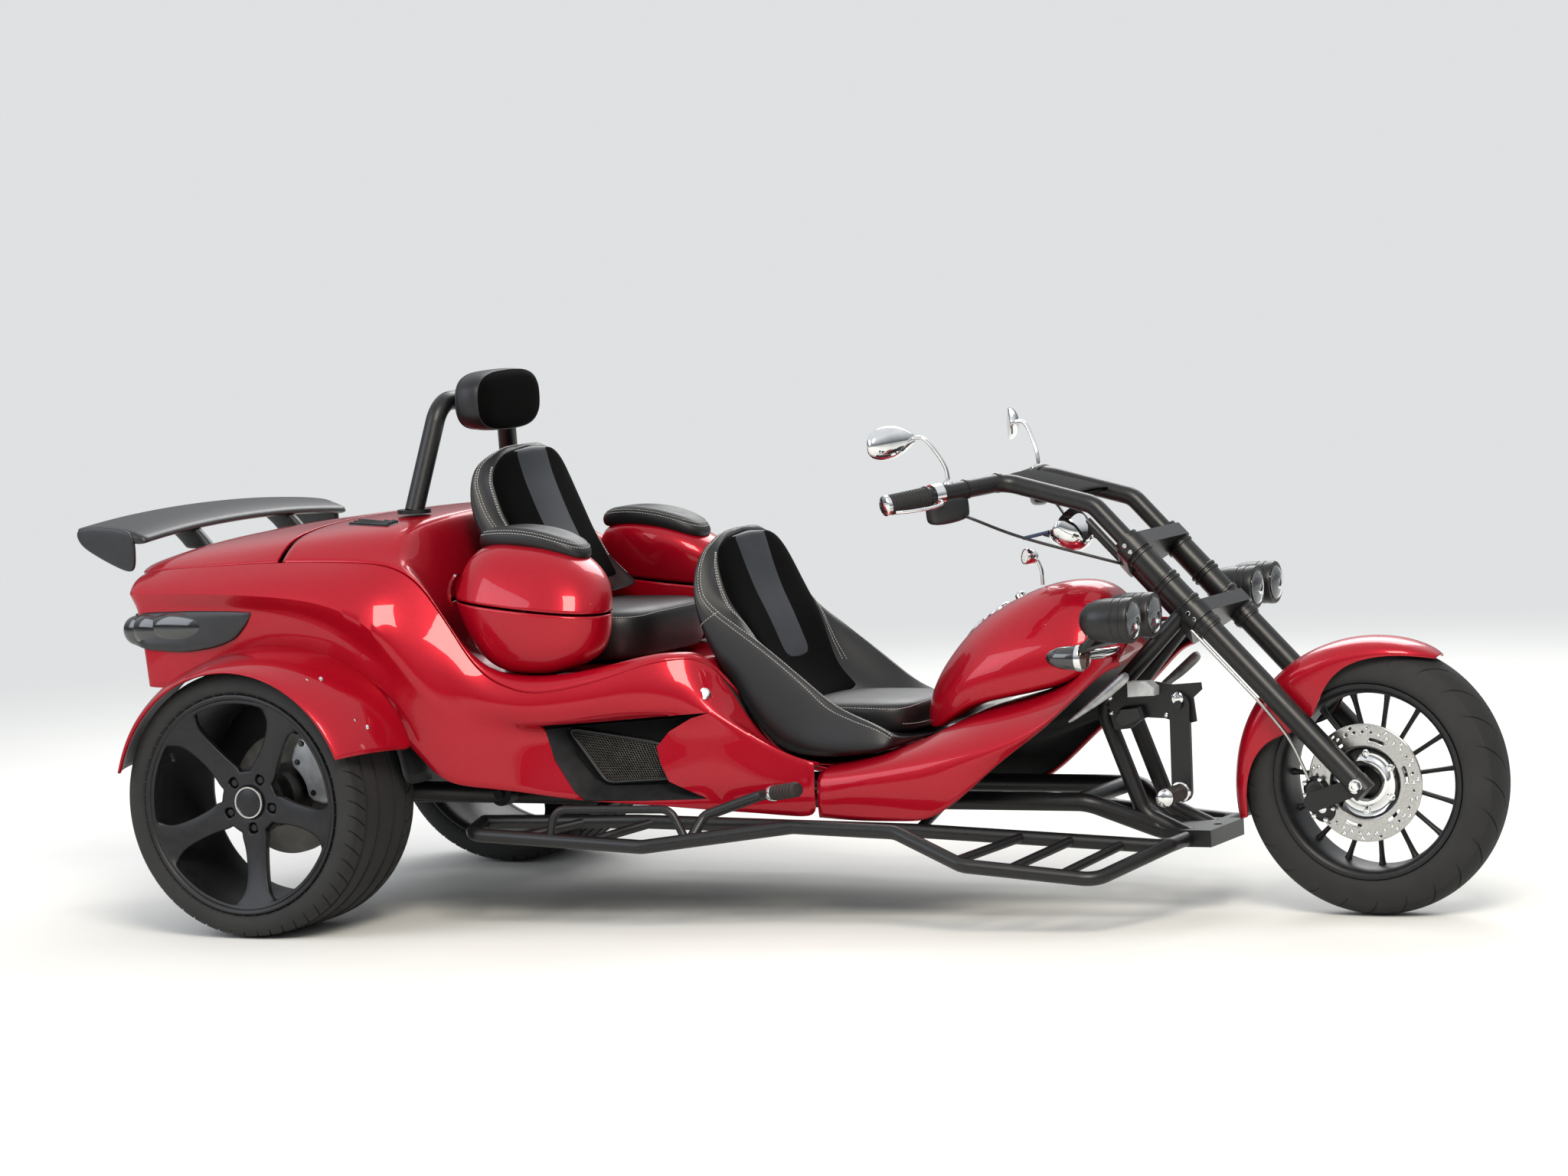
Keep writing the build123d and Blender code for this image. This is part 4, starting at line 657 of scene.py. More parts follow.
lidStations = [bodyLook["lidFront"], -40, -100, -170, -240, -300, -350]
verts = []
for s in lidStations:
    verts += topRow(s)
tailRows = (  # ahead of the axle, half widths of the rows, heights of the rows
    (-398, (524, 530, 496, 392, 196, 0), (854, 874, 894, 905, 910, 912)),
    (-430, (496, 500, 472, 376, 190, 0), (854, 873, 886, 896, 900, 902)),
    (-458, (436, 440, 420, 340, 176, 0), (852, 869, 877, 884, 887, 888)),
    (-470, (372, 376, 360, 300, 160, 0), (852, 862, 866, 869, 870, 871)))
for s, halves, heights in tailRows:
    row = [spot(s - (1 - y / 540) ** 2 * 8, -y, z) for y, z in zip(halves, heights)]
    verts += bothSides(row)
rows = len(lidStations) + len(tailRows)
creases = pairCreases(1, rows, columns, 0.7) + rowCreases(0, columns, 1.0)
addPiece("trunk_lid_skin", verts, gridFaces(rows, columns), "trunk", *redLacquer, ("trunk_lid",), 3,
    bodyLook["skin"], creases, lining=moldedAbs)
print("body shells ready")

# wheel-well liners behind the fenders
linerLook = {"radius": 354.0, "inner": 452.0, "outer": 598.0, "angles": range(4, 180, 8)}
well, inner, outer = linerLook["radius"], linerLook["inner"], linerLook["outer"]
for hand, side in hands:
    verts = []
    for angle in linerLook["angles"]:
        turn = radians(angle)
        for half, radius in ((inner, 90), (inner, 250), (inner, 345), (inner + 10, well), (525, well),
                (outer, well)):
            verts.append(spot(radius * cos(turn), side * half, rearUp + radius * sin(turn)))
    addPiece("wheel_well_liner_" + hand, verts, gridFaces(len(linerLook["angles"]), 6), "chassis",
        *blackPlastic, (), 1, 4.0, None, side > 0)

# cowl: wings from the seat to the nose, with a flat middle under the tank
cowlTop = ((1338, 122, 372), (1440, 122, 396), (1545, 122, 426), (1610, 122, 458), (1690, 122, 496),
    (1782, 122, 520), (1890, 124, 552), (1955, 124, 590), (2000, 128, 668), (2040, 136, 690),
    (2082, 150, 680))
cowlSlope = ((1338, 300, 372), (1440, 300, 388), (1545, 286, 416), (1610, 262, 446), (1725, 258, 478),
    (1828, 252, 504), (1909, 244, 534), (1990, 228, 584), (2040, 218, 628), (2086, 210, 648))
cowlCrease = ((1338, 338, 352), (1448, 345, 360), (1617, 345, 390), (1725, 338, 407), (1828, 320, 430),
    (1909, 302, 474), (1990, 281, 546), (2086, 252, 622))
cowlWaist = ((1338, 345, 300), (1448, 345, 300), (1617, 343, 312), (1725, 331, 366), (1828, 312, 417),
    (1909, 297, 468), (1990, 278, 540), (2089, 250, 616))
cowlHem = ((1338, 336, 253), (1438, 335, 246), (1600, 335, 247), (1661, 331, 271), (1747, 319, 339),
    (1821, 306, 402), (1905, 290, 461), (1978, 275, 528), (2090, 246, 608))
cowlStations = [1338, 1390, 1450, 1510, 1565, 1610, 1650, 1700, 1750, 1800, 1850, 1905, 1950, 1975, 2000,
    2030, 2060, 2088]
cowlLook = {"skin": 6.0, "notch": 1955}
verts, faces, creases = [], [], []
for s in cowlStations:
    middle = smoothAlong(cowlTop, s)
    row = [(0, middle[1]), middle]
    row += [smoothAlong(line, s) for line in (cowlSlope, cowlCrease, cowlWaist, cowlHem)]
    hem = row[-1]
    row.append((hem[0] - 14, hem[1] + 5))
    half = [spot(s, -y, z) for y, z in row]
    verts += [flipSide(p) for p in reversed(half)][:-1] + half
columns = 13
for r in range(len(cowlStations) - 1):
    for c in range(columns - 1):
        if cowlStations[r] >= cowlLook["notch"] - 10 and c in (5, 6):
            continue
        a = r * columns + c
        faces.append((a, a + 1, a + columns + 1, a + columns))
    for c in (1, 11):
        creases.append((r * columns + c, (r + 1) * columns + c, 0.6))
    for c in (3, 9):
        creases.append((r * columns + c, (r + 1) * columns + c, 0.25))
creases += rowCreases(0, columns, 1.0) + rowCreases(len(cowlStations) - 1, columns, 0.7)
addPiece("cowl_wings", verts, faces, "chassis", *redLacquer, ("front_cowl",), 2, cowlLook["skin"], creases,
    lining=moldedAbs)

# bare aluminium strip under the nose of each wing
stripLook = {"foot": (1950, 262, 478), "head": (2096, 240, 598), "wide": 26.0, "thick": 5.0}
for hand, side in hands:
    run = [Vector(stripLook["foot"]).lerp(Vector(stripLook["head"]), t / 8) for t in range(9)]
    verts = []
    for t, p in enumerate(run):
        wide = stripLook["wide"] * (0.35 + 0.65 * min(1.0, t / 5))
        for dz, dy in ((0, 0), (0, stripLook["thick"]), (-wide, stripLook["thick"]), (-wide, 0)):
            verts.append(spot(p[0] - dz * 0.62, side * (p[1] - 12 + dy), p[2] + dz * 0.78))
    faces = gridFaces(9, 4, True) + [(0, 1, 2, 3), (35, 34, 33, 32)]
    addPiece("nose_strip_" + hand, verts, faces, "chassis", "cast_aluminium", castAluminium, (), 1, 0,
        [(i * 4 + c, (i + 1) * 4 + c, 0.9) for i in range(8) for c in range(4)])
print("cowl ready")

# tank: teardrop with a soft waist line
# ahead, half width at the foot, foot height, top height
tankTable = ((1514, 62, 452, 520), (1530, 100, 444, 562), (1560, 138, 440, 602), (1612, 170, 466, 664),
    (1671, 190, 498, 712), (1730, 198, 514, 744), (1790, 200, 524, 771), (1850, 198, 537, 787),
    (1905, 194, 549, 792), (1950, 186, 566, 788), (1985, 168, 590, 768), (2008, 130, 615, 738))
tankShape = ((0.94, 0.0), (1.0, 0.05), (1.03, 0.2), (1.0, 0.38), (0.9, 0.56), (0.72, 0.76), (0.46, 0.92),
    (0.22, 0.985), (0.0, 1.0))
tankStations = [1514, 1524, 1545, 1580, 1625, 1675, 1730, 1790, 1850, 1900, 1945, 1978, 1998, 2008]
verts = []
for s in tankStations:
    half, foot, top = smoothAlong(tankTable, s)
    row = [spot(s, -half * a, foot + (top - foot) * b) for a, b in tankShape]
    verts += bothSides(row)
columns = 2 * len(tankShape) - 1
rows = len(tankStations)
ends = [tuple(range(columns)), tuple(range(rows * columns - 1, (rows - 1) * columns - 1, -1))]
faces = gridFaces(rows, columns, True) + ends
creases = pairCreases(3, rows, columns, 0.35) + pairCreases(1, rows, columns, 0.6)
addPiece("tank_shell", verts, faces, "chassis", *redLacquer, ("fuel_tank",), 2, 0, creases)
print("tank ready")

# rear fenders: turned about the axle, wider and flatter towards the front
fenderEdge = ((17, 401), (30, 403), (45, 397), (60, 386), (75, 376), (90, 371), (110, 374), (130, 384),
    (150, 388), (166, 376))
fenderShape = ((598, 0.0), (640, 0.06), (700, 0.2), (755, 0.42), (795, 0.68), (818, 0.86), (829, 1.0),
    (826, 1.1), (816, 1.08))
fenderLook = {"lip": 328.0, "skin": 5.0, "from": 17, "to": 166, "steps": 22}
for hand, side in hands:
    verts = []
    for i in range(fenderLook["steps"] + 1):
        share = i / fenderLook["steps"]
        for half, drop in fenderShape:
            angle = (fenderLook["from"] + (half - 598) / 232 * 4 * (1 - share)
                + (fenderLook["to"] - fenderLook["from"]) * share)
            edge = smoothAlong(fenderEdge, angle)[0]
            radius = edge + (fenderLook["lip"] - edge) * drop
            turn = radians(angle)
            verts.append(spot(radius * cos(turn), side * half, rearUp + radius * sin(turn)))
    rows, columns = fenderLook["steps"] + 1, len(fenderShape)
    creases = columnCreases(6, rows, columns, 0.7)
    creases += rowCreases(0, columns, 0.8) + rowCreases(rows - 1, columns, 0.8)
    addPiece("rear_fender_skin_" + hand, verts, gridFaces(rows, columns), "chassis", *redLacquer,
        ("rear_fender_" + hand,), 2, fenderLook["skin"], creases, side < 0, lining=moldedAbs)

# front fender: a long blade with a pointed tip and a skirt down to each leg
# angle, radius at the ridge, half width, depth of the side
fenderRun = ((60, 336, 26, 10), (63, 338, 44, 16), (68, 339, 62, 24), (76, 339, 78, 34), (86, 338, 88, 46),
    (97, 337, 93, 60), (107, 336, 95, 82), (116, 336, 96, 112), (124, 336, 96, 136), (133, 336, 96, 146),
    (142, 336, 96, 138), (150, 336, 96, 112), (158, 336, 96, 84), (168, 337, 95, 62), (180, 338, 94, 50),
    (190, 339, 92, 44), (196, 340, 90, 40))
# share of the half width, share of the shoulder's drop
fenderBow = ((0.0, 0.0), (0.42, 0.08), (0.75, 0.3), (0.94, 0.68))
fenderLook = {"skin": 4.0, "shoulder": 42.0}
verts = []
for angle, ridge, half, depth in fenderRun:
    turn = radians(angle)
    drop = min(fenderLook["shoulder"], depth * 0.8)
    shape = ([(half * a, ridge - drop * b) for a, b in fenderBow]
        + [(half, ridge - drop - (depth - drop) * b) for b in (0.08, 0.55, 1.0)])
    row = [spot(frontAxle[0] + r * cos(turn), -y, frontAxle[1] + r * sin(turn)) for y, r in reversed(shape)]
    verts += bothSides(row)
rows, columns = len(fenderRun), 13
creases = rowCreases(0, columns, 0.5) + rowCreases(rows - 1, columns, 0.8)
creases += pairCreases(0, rows, columns, 0.7) + pairCreases(2, rows, columns, 0.25)
addPiece("front_fender_skin", verts, gridFaces(rows, columns), "steering", *redLacquer, ("front_fender",), 2,
    fenderLook["skin"], creases, False, lining=moldedAbs)
print("fenders ready")

# armrest pods: egg-shaped bins with split line, lids and padded tops
# height, rear end, front end, half width
podRings = ((604, 600, 680, 26), (612, 560, 712, 62), (632, 518, 772, 92), (662, 486, 808, 108),
    (700, 458, 824, 117), (740, 440, 830, 121), (765, 434, 831, 122), (772, 434, 831, 122),
    (800, 436, 829, 121), (835, 442, 818, 117), (865, 455, 794, 109), (888, 476, 760, 97),
    (905, 506, 722, 80), (914, 545, 680, 56))
podLook = {"y": 381.0, "tilt": -0.11, "middle": 640.0, "skin": 4.0, "sides": 32, "power": 2.5, "back": 16.0,
    "lean": 55.0}


def podRing(height, rearEnd, frontEnd, half, side):
    middle, reach = (rearEnd + frontEnd) / 2 - podLook["back"], (frontEnd - rearEnd) / 2
    fade = min(1.0, max(0.0, (height - 604) / 150))
    centre = side * (podLook["y"] - podLook["lean"] * max(0.0, (height - 772) / 142))
    ring = []
    for c, d in roundSteps(podLook["sides"]):
        x = middle + reach * squared(c, 2 / podLook["power"])
        y = half * squared(d, 2 / podLook["power"])
        ring.append(spot(x, centre + y, height + podLook["tilt"] * (x - podLook["middle"]) * fade))
    return ring


for hand, side in hands:
    n = podLook["sides"]
    for part, span, body in (("bin", podRings[:7], "chassis"), ("lid", podRings[7:], "armrest_" + hand)):
        verts = []
        for ring in span:
            verts += podRing(*ring, side)
        rows = len(span)
        faces = gridFaces(rows, n, True)
        faces.append(tuple(range(n - 1, -1, -1)) if part == "bin"
            else tuple(range((rows - 1) * n, rows * n)))
        edgeRow = rows - 1 if part == "bin" else 0
        addPiece("pod_" + part + "_skin_" + hand, verts, faces, body, *redLacquer,
            ("pod_" + part + "_" + hand,), 2, podLook["skin"], rowCreases(edgeRow, n, 0.75, True))
print("pods ready")

# spoiler: an arched blade with deep end plates on two pylons
# ahead, height, of the blade's outline at its middle
wingSection = ((-612, 1004), (-560, 1010), (-500, 1007), (-450, 996), (-414, 980), (-410, 968), (-426, 960),
    (-470, 968), (-530, 980), (-590, 989), (-611, 996))
wingLook = {"half": 496.0, "arch": 24.0, "sweep": 6.0, "back": 18.0, "pylon": 228.0}
verts = []
shares = [-1, -0.96, -0.85, -0.65, -0.4, 0, 0.4, 0.65, 0.85, 0.96, 1]
for share in shares:
    for ahead, up in wingSection:
        sweep = wingLook["sweep"] * share**2 if ahead > -500 else 0
        drop = wingLook["arch"] * share**2
        verts.append(spot(ahead - wingLook["back"] + sweep, share * wingLook["half"], up - drop))
n = len(wingSection)
blade = (verts, closedFaces(len(shares), n))
plateOutline = ((-613, 982), (-560, 986), (-500, 983), (-446, 974), (-436, 950), (-436, 900), (-442, 870),
    (-466, 872), (-520, 896), (-570, 922), (-602, 944))
sets = []
for side in (-1, 1):
    verts, m = [], len(plateOutline)
    for half, grow in ((-13, 0.97), (-8, 1.0), (-1, 1.0), (3, 0.97)):
        for ahead, up in plateOutline:
            verts.append(spot(-525 - wingLook["back"] + (ahead + 525) * grow,
                side * (wingLook["half"] + half), 935 + (up - 935) * grow))
    faces = gridFaces(4, m, True) + [tuple(range(m)), tuple(range(3 * m, 4 * m))]
    sets.append((verts, faces))
pylonSets = []
for side in (-1, 1):
    verts = []
    levels = ((0.0, -468, -384, 22), (0.12, -474, -390, 19), (0.5, -500, -412, 17), (0.88, -540, -444, 19),
        (1.0, -556, -452, 23))
    for share, rearEnd, frontEnd, half in levels:
        low = 900 + (frontEnd + 440) * 0.12
        up = low + (982 - low) * share
        middle, reach = (rearEnd + frontEnd) / 2, (frontEnd - rearEnd) / 2
        for c, d in roundSteps(12):
            verts.append(spot(middle + reach * squared(c, 0.5), side * wingLook["pylon"]
                + half * squared(d, 0.7), up))
    pylonSets.append((verts, gridFaces(5, 12, True) + [tuple(range(12)), tuple(range(48, 60))]))
verts, faces = joinSets(blade, *sets, *pylonSets)
bladeCreases = [(r * n + c, (r + 1) * n + c, 0.4) for r in range(len(shares) - 1) for c in (0, 4, 5, 10)]
addPiece("spoiler_wing", verts, faces, "trunk", *blackPlastic, ("spoiler",), 2, 0, bladeCreases)
print("spoiler ready")

# rear wheels: concave five-spoke castings with lug holes, on turned barrels
spokeRows = (  # radius, depth behind the outer lip, half width of a spoke
    (90, 46, 37), (108, 45, 31), (138, 41, 28), (172, 34, 28), (205, 24, 31), (228, 15, 40), (241, 10, 56))
hubRows = ((40, 51), (49, 48), (77, 47))  # radius, depth
rimRows = ((249, 7), (257, 3))
rearWheel = {"y": 640.0, "lip": 150.0, "spokes": 5, "phase": 276.0, "thick": 24.0, "lug": 0.5}
barrelProfile = ((138, 257), (140, 267), (143, 269), (149, 268), (150.5, 264), (148, 258), (140, 253),
    (128, 250), (90, 247), (-60, 243), (-126, 248), (-142, 254), (-150, 263), (-149, 268), (-143, 269),
    (-140, 267), (-138, 257), (0, 256.5), (138, 257))
capProfile = ((-6, 40), (2, 40), (5, 38.5), (5, 35), (2, 33.5), (3.5, 30), (6.5, 18), (7, 8), (7, 0.4))
for hand, side in hands:
    sector = 2 * pi / rearWheel["spokes"]
    shares = (-1.0, -rearWheel["lug"], 0.0, rearWheel["lug"], 1.0)
    verts, faces, keys = [], [], {}

    def faceVertex(key, radius, depth, angle):
        keys[key] = len(verts)
        verts.append(spot(radius * cos(angle), side * (rearWheel["y"] + rearWheel["lip"] - depth),
            rearUp + radius * sin(angle)))

    def fullRow(kind, k, radius, depth, reach):
        for n in range(rearWheel["spokes"]):
            middle = radians(rearWheel["phase"]) + n * sector
            turns = [reach * f for f in shares] + [reach + (sector - 2 * reach) * f for f in (1 / 3, 2 / 3)]
            for c, turn in enumerate(turns):
                faceVertex((kind, k, n * 7 + c), radius, depth, middle + turn)

    for k, (radius, depth) in enumerate(hubRows):
        fullRow("hub", k, radius, depth, spokeRows[0][2] / spokeRows[0][0])
    for k, (radius, depth, half) in enumerate(spokeRows):
        for n in range(rearWheel["spokes"]):
            middle = radians(rearWheel["phase"]) + n * sector
            for c, f in enumerate(shares):
                faceVertex(("spoke", k, n * 7 + c), radius, depth + 4 * abs(f) ** 3,
                    middle + f * half / radius)
    for k, (radius, depth) in enumerate(rimRows):
        fullRow("rim", k, radius, depth, spokeRows[-1][2] / spokeRows[-1][0])
    ladder = ([("hub", k) for k in range(len(hubRows))] + [("spoke", k) for k in range(len(spokeRows))]
        + [("rim", k) for k in range(len(rimRows))])
    total = 7 * rearWheel["spokes"]
    for low, high in zip(ladder, ladder[1:]):
        for c in range(total):
            d = (c + 1) % total
            lugHole = low == ("hub", 1) and c % 7 in (1, 2)
            corner = [(*low, c), (*low, d), (*high, d), (*high, c)]
            if not lugHole and all(key in keys for key in corner):
                faces.append(tuple(keys[key] for key in corner))
    addPiece("rear_wheel_casting_" + hand, verts, faces, "rear_wheel_" + hand, *blackAlloy, (), 2,
        rearWheel["thick"], None, side < 0)
    centre = spot(0, side * rearWheel["y"], rearUp)
    outward = Vector((0, side, 0))
    addHard("rear_wheel_barrel_" + hand, [turned(barrelProfile, centre, outward, 96)], "rear_wheel_" + hand,
        *blackAlloy, ("rear_rim_" + hand,))
    hub = spot(0, side * (rearWheel["y"] + rearWheel["lip"] - 48), rearUp)
    addPiece("wheel_cap_" + hand, *turned(capProfile, hub, outward, 48), "rear_wheel_" + hand, *blackAlloy,
        levels=0, sharp=35, others=(turnedSteel,),
        pick=lambda index: 1 if index % (len(capProfile) - 1) in (1, 2, 3) else 0)
    sets = [turned(((-24, 42), (-16, 42), (-16, 84), (-24, 84), (-24, 42)), hub, outward, 48)]
    for n in range(rearWheel["spokes"]):
        angle = radians(rearWheel["phase"]) + n * sector
        place = hub + Vector((0.063 * cos(angle), 0, 0.063 * sin(angle)))
        sets.append(turned(((-18, 10.5), (-7, 10.5), (-5, 8.5), (-4.5, 0.5)), place, outward, 6))
    addHard("wheel_bolts_" + hand, sets, "rear_wheel_" + hand, *blackAlloy, sharp=30)
    stem = turned(((0, 5), (4, 5), (5, 4), (26, 3.4), (27, 4), (34, 4), (35, 0.4)),
        spot(-205, side * (rearWheel["y"] + 118), rearUp + 118), Vector((0.6, side * 0.7, -0.35)), 12)
    addHard("valve_stem_" + hand, [stem], "rear_wheel_" + hand, "grip_rubber", gripRubber)
print("rear wheels ready")


def treadTyre(name, body, node, look):  # a closed ring with grooves round it and slits across its shoulders
    near, far = look["slitFrom"], look["slitTo"]
    half = list(look["profile"])
    section = [(-a, r) for a, r in reversed(half[1:])] + half
    pitch = 2 * pi / look["slits"]
    steps = [w / look["radius"] for w in look["slitSteps"]]
    rest = [steps[-1] + (pitch - steps[-1]) * f for f in look["plainSteps"]]
    verts = []
    for n in range(look["slits"]):
        for k, step in enumerate(steps + rest):
            for a, r in section:
                inside = near <= abs(a) <= far
                low = look["slitDepth"] if inside and k in (1, 2) else 0.0
                sweep = look["sweep"] * max(0.0, abs(a) - near) / (far - near)
                sweep += (pitch / 2 if a < 0 else 0.0) * min(1.0, abs(a) / near)
                angle = n * pitch + step + sweep
                verts.append(spot(look["ahead"] + (r - low) * cos(angle), look["y"] + a,
                    look["up"] + (r - low) * sin(angle)))
    rows, columns = look["slits"] * len(steps + rest), len(section)
    faces = [(i * columns + c, i * columns + (c + 1) % columns, (i + 1) % rows * columns + (c + 1) % columns,
        (i + 1) % rows * columns + c) for i in range(rows) for c in range(columns)]
    walls = look["wallColumns"]
    addPiece(name, verts, faces, body, "tyre_rubber", tyreRubber, (node,), 0, sharp=28, others=(wallRubber,),
             pick=lambda index: 1 if min(index % columns, columns - 2 - index % columns) < walls else 0)


rearProfile = ((0, 328), (29, 328), (31, 321), (41, 321), (43, 327.9), (85, 327.2), (87, 320.5), (97, 320.5),
    (99, 326.8), (113, 326), (127, 324.6), (138, 321.5), (146, 316), (152, 308), (155, 297), (154, 286),
    (150, 277.5), (145, 272.5), (139.7, 270), (139.7, 258))
for hand, side in hands:
    treadTyre("rear_tyre_tread_" + hand, "rear_wheel_" + hand, "rear_tyre_" + hand,
        {"profile": rearProfile, "ahead": 0, "y": side * rearWheel["y"], "up": rearUp, "radius": 328,
        "slits": 54, "slitSteps": (0, 1.2, 3.6, 4.8), "plainSteps": (0.33, 0.66), "slitFrom": 99,
        "slitTo": 146, "slitDepth": 4.0, "sweep": 0.09, "wallColumns": 8})
frontProfile = ((0, 318), (9, 317.8), (20, 316.6), (31, 314), (41, 309.8), (50, 304.2), (58, 297),
    (64.5, 288), (70, 277), (73.6, 264), (75, 252), (73.5, 241), (70, 234.5), (66, 231), (59.7, 230.6),
    (59.7, 219))
treadTyre("front_tyre_tread", "front_wheel", "front_tyre", {"profile": frontProfile, "ahead": frontAxle[0],
    "y": 0.0, "up": frontAxle[1], "radius": 318, "slits": 24, "slitSteps": (0, 1.5, 4.5, 6.0),
    "plainSteps": (0.2, 0.4, 0.6, 0.8), "slitFrom": 20, "slitTo": 64.5, "slitDepth": 4.0, "sweep": 0.16,
    "wallColumns": 9})
print("tyres ready")


# front wheel: thin straight spokes between a turned hub and barrel
frontWheel = {"spokes": 15, "phase": 8.0}
# radius, half width, half depth
spokeRun = ((38, 10, 30), (52, 7.5, 22), (80, 6, 17), (140, 5.5, 14), (188, 6, 14), (202, 8.5, 18),
    (209, 12, 24))
frontBarrel = ((58, 217), (60.5, 222), (63, 229), (69, 228.5), (70.5, 224), (68, 217), (60, 210), (44, 205),
    (24, 203), (-24, 203), (-44, 205), (-60, 210), (-68, 217), (-70.5, 224), (-69, 228.5), (-63, 229),
    (-60.5, 222), (-58, 217), (0, 216.5), (58, 217))
frontHub = ((60, 10.6), (60, 30), (57, 36), (50, 42), (40, 43), (30, 40), (12, 38), (-12, 38), (-30, 40),
    (-40, 43), (-50, 42), (-57, 36), (-60, 30), (-60, 10.6), (60, 10.6))
sets = []
axle = spot(frontAxle[0], 0, frontAxle[1])
for n in range(frontWheel["spokes"]):
    angle = radians(frontWheel["phase"] + 360 * n / frontWheel["spokes"])
    out, along = Vector((cos(angle), 0, sin(angle))), Vector((-sin(angle), 0, cos(angle)))
    rings = []
    for radius, half, depth in spokeRun:
        ring = []
        for k in range(8):
            c, d = cos(2 * pi * (k + 0.5) / 8), sin(2 * pi * (k + 0.5) / 8)
            ring.append(axle + (out * radius + along * (half * c * 1.08)
                + Vector((0, depth * d * 1.08 / 1.6, 0))) / 1000)
        rings.append(ring)
    sets.append(loftSet(rings))
addPiece("front_wheel_spokes", *joinSets(*sets), "front_wheel", *blackAlloy, (), 1)
addHard("front_wheel_barrel", [turned(frontBarrel, axle, toLeft, 96), turned(frontHub, axle, toLeft, 48)],
    "front_wheel", *blackAlloy, ("front_rim",))

# front brake disc: drilled and slotted ring on a bright carrier with bolts
discRadii = (84, 92, 98, 105, 110, 115, 121, 126, 132, 138)
discLook = {"columns": 108, "y": -82.3, "thick": 5.5, "slots": 6}
verts, faces = [], []
for radius in discRadii:
    for c in range(discLook["columns"]):
        angle = 2 * pi * c / discLook["columns"]
        verts.append(axle + Vector((radius * cos(angle), discLook["y"], radius * sin(angle))) / 1000)
for r in range(len(discRadii) - 1):
    for c in range(discLook["columns"]):
        slotHole = r == 2 and c % (discLook["columns"] // discLook["slots"]) < 7
        drilled = (r == 5 and c % 6 in (0, 3)) or (r == 7 and c % 6 == 1)
        if not (slotHole or drilled):
            d = (c + 1) % discLook["columns"]
            n = discLook["columns"]
            faces.append((r * n + c, r * n + d, (r + 1) * n + d, (r + 1) * n + c))
addPiece("front_brake_ring", verts, faces, "front_wheel", "brake_steel", turnedSteel, ("front_disc",), 1,
    discLook["thick"], None, True)
carrierProfile = ((-60.5, 36), (-60.5, 92), (-66, 95), (-77, 95), (-80.5, 92), (-81, 86), (-78, 82),
    (-74, 74), (-73, 62), (-76, 56), (-80, 52), (-81, 44), (-79, 36), (-60.5, 36))
sets = [turned(carrierProfile, axle, toLeft, 72)]
for n in range(6):
    angle = 2 * pi * (n + 0.5) / 6
    head = axle + Vector((67 * cos(angle), -73, 67 * sin(angle))) / 1000
    sets.append(turned(((0, 8), (4, 8), (6, 6.4), (6.2, 3.6), (3.5, 3.2), (3.5, 0.3)), head, toRight, 12))
addHard("front_disc_carrier", sets, "front_wheel", "brake_steel", chromePlate, sharp=32)

# front caliper: a black kidney block over the disc with bright bolts
caliperOutline = ((-34, -46), (-20, -58), (4, -60), (22, -50), (30, -30), (26, -8), (30, 14), (26, 38),
    (12, 54), (-12, 58), (-30, 46), (-38, 20), (-40, -16))
caliperLook = {"angle": 200.0, "radius": 122.0, "outer": -97.0, "inner": -64.5}
turn = radians(caliperLook["angle"])
out, along = Vector((cos(turn), 0, sin(turn))), Vector((-sin(turn), 0, cos(turn)))
blockMiddle = axle + out * (caliperLook["radius"] / 1000)
rings = []
for depth, grow in ((caliperLook["inner"], 0.9), (-67, 1.0), (-83.5, 1.0), (-84, 0.93), (-88, 0.93),
        (-89, 0.84), (-94, 0.8), (caliperLook["outer"], 0.7)):
    rings.append([blockMiddle + out * (a * grow / 1000) + along * (b * grow / 1000)
        + Vector((0, depth / 1000, 0)) for a, b in caliperOutline])
addPiece("front_caliper_block", *loftSet(rings), "steering", *blackCoat, ("front_caliper",), 1)
sets = []
for a, b, size in ((-26, -44, 7), (12, -48, 7), (22, -22, 6), (20, 30, 7), (-4, 48, 7), (-30, 30, 6),
        (-10, -10, 10), (-6, 22, 10)):
    head = blockMiddle + out * (a / 1000) + along * (b / 1000) + Vector((0, -93.0 / 1000, 0))
    sets.append(turned(((0, size), (4, size), (5.5, size * 0.75), (6, size * 0.4), (6, 0.3)), head, toRight,
        6 if size < 8 else 24))
addHard("front_caliper_bolts", sets, "steering", *brightChrome, sharp=30)
print("front wheel ready")


def softLine(points, steps=6):  # a smooth line through points
    line = []
    for i in range(len(points) - 1):
        p0, p1, p2, p3 = points[max(i - 1, 0)], points[i], points[i + 1], points[min(i + 2, len(points) - 1)]
        for k in range(steps):
            t = k / steps
            line.append((p1 * 2 + (p2 - p0) * t + (p0 * 2 - p1 * 5 + p2 * 4 - p3) * t**2
                + (p1 * 3 - p0 - p2 * 3 + p3) * t**3) / 2)
    return line + [points[-1]]


def onSkin(piece, points, lifts):  # points brought to a piece's finished surface, lifted off it by mm
    tree = BVHTree.FromObject(piece, bpy.context.evaluated_depsgraph_get())
    found = []
    for i, point in enumerate(points):
        place, normal, index, gap = tree.find_nearest(point)
        lift = lifts[i] if isinstance(lifts, (list, tuple)) else lifts
        found.append(place + normal * (lift / 1000))
    return found


stitchLook = {"length": 5.0, "gap": 2.2, "width": 2.0, "lift": 0.5}


def stitchSet(piece, line):  # threads along a line on a piece
    return dashSet(onSkin(piece, line, stitchLook["lift"]), stitchLook["length"], stitchLook["gap"],
        stitchLook["width"])


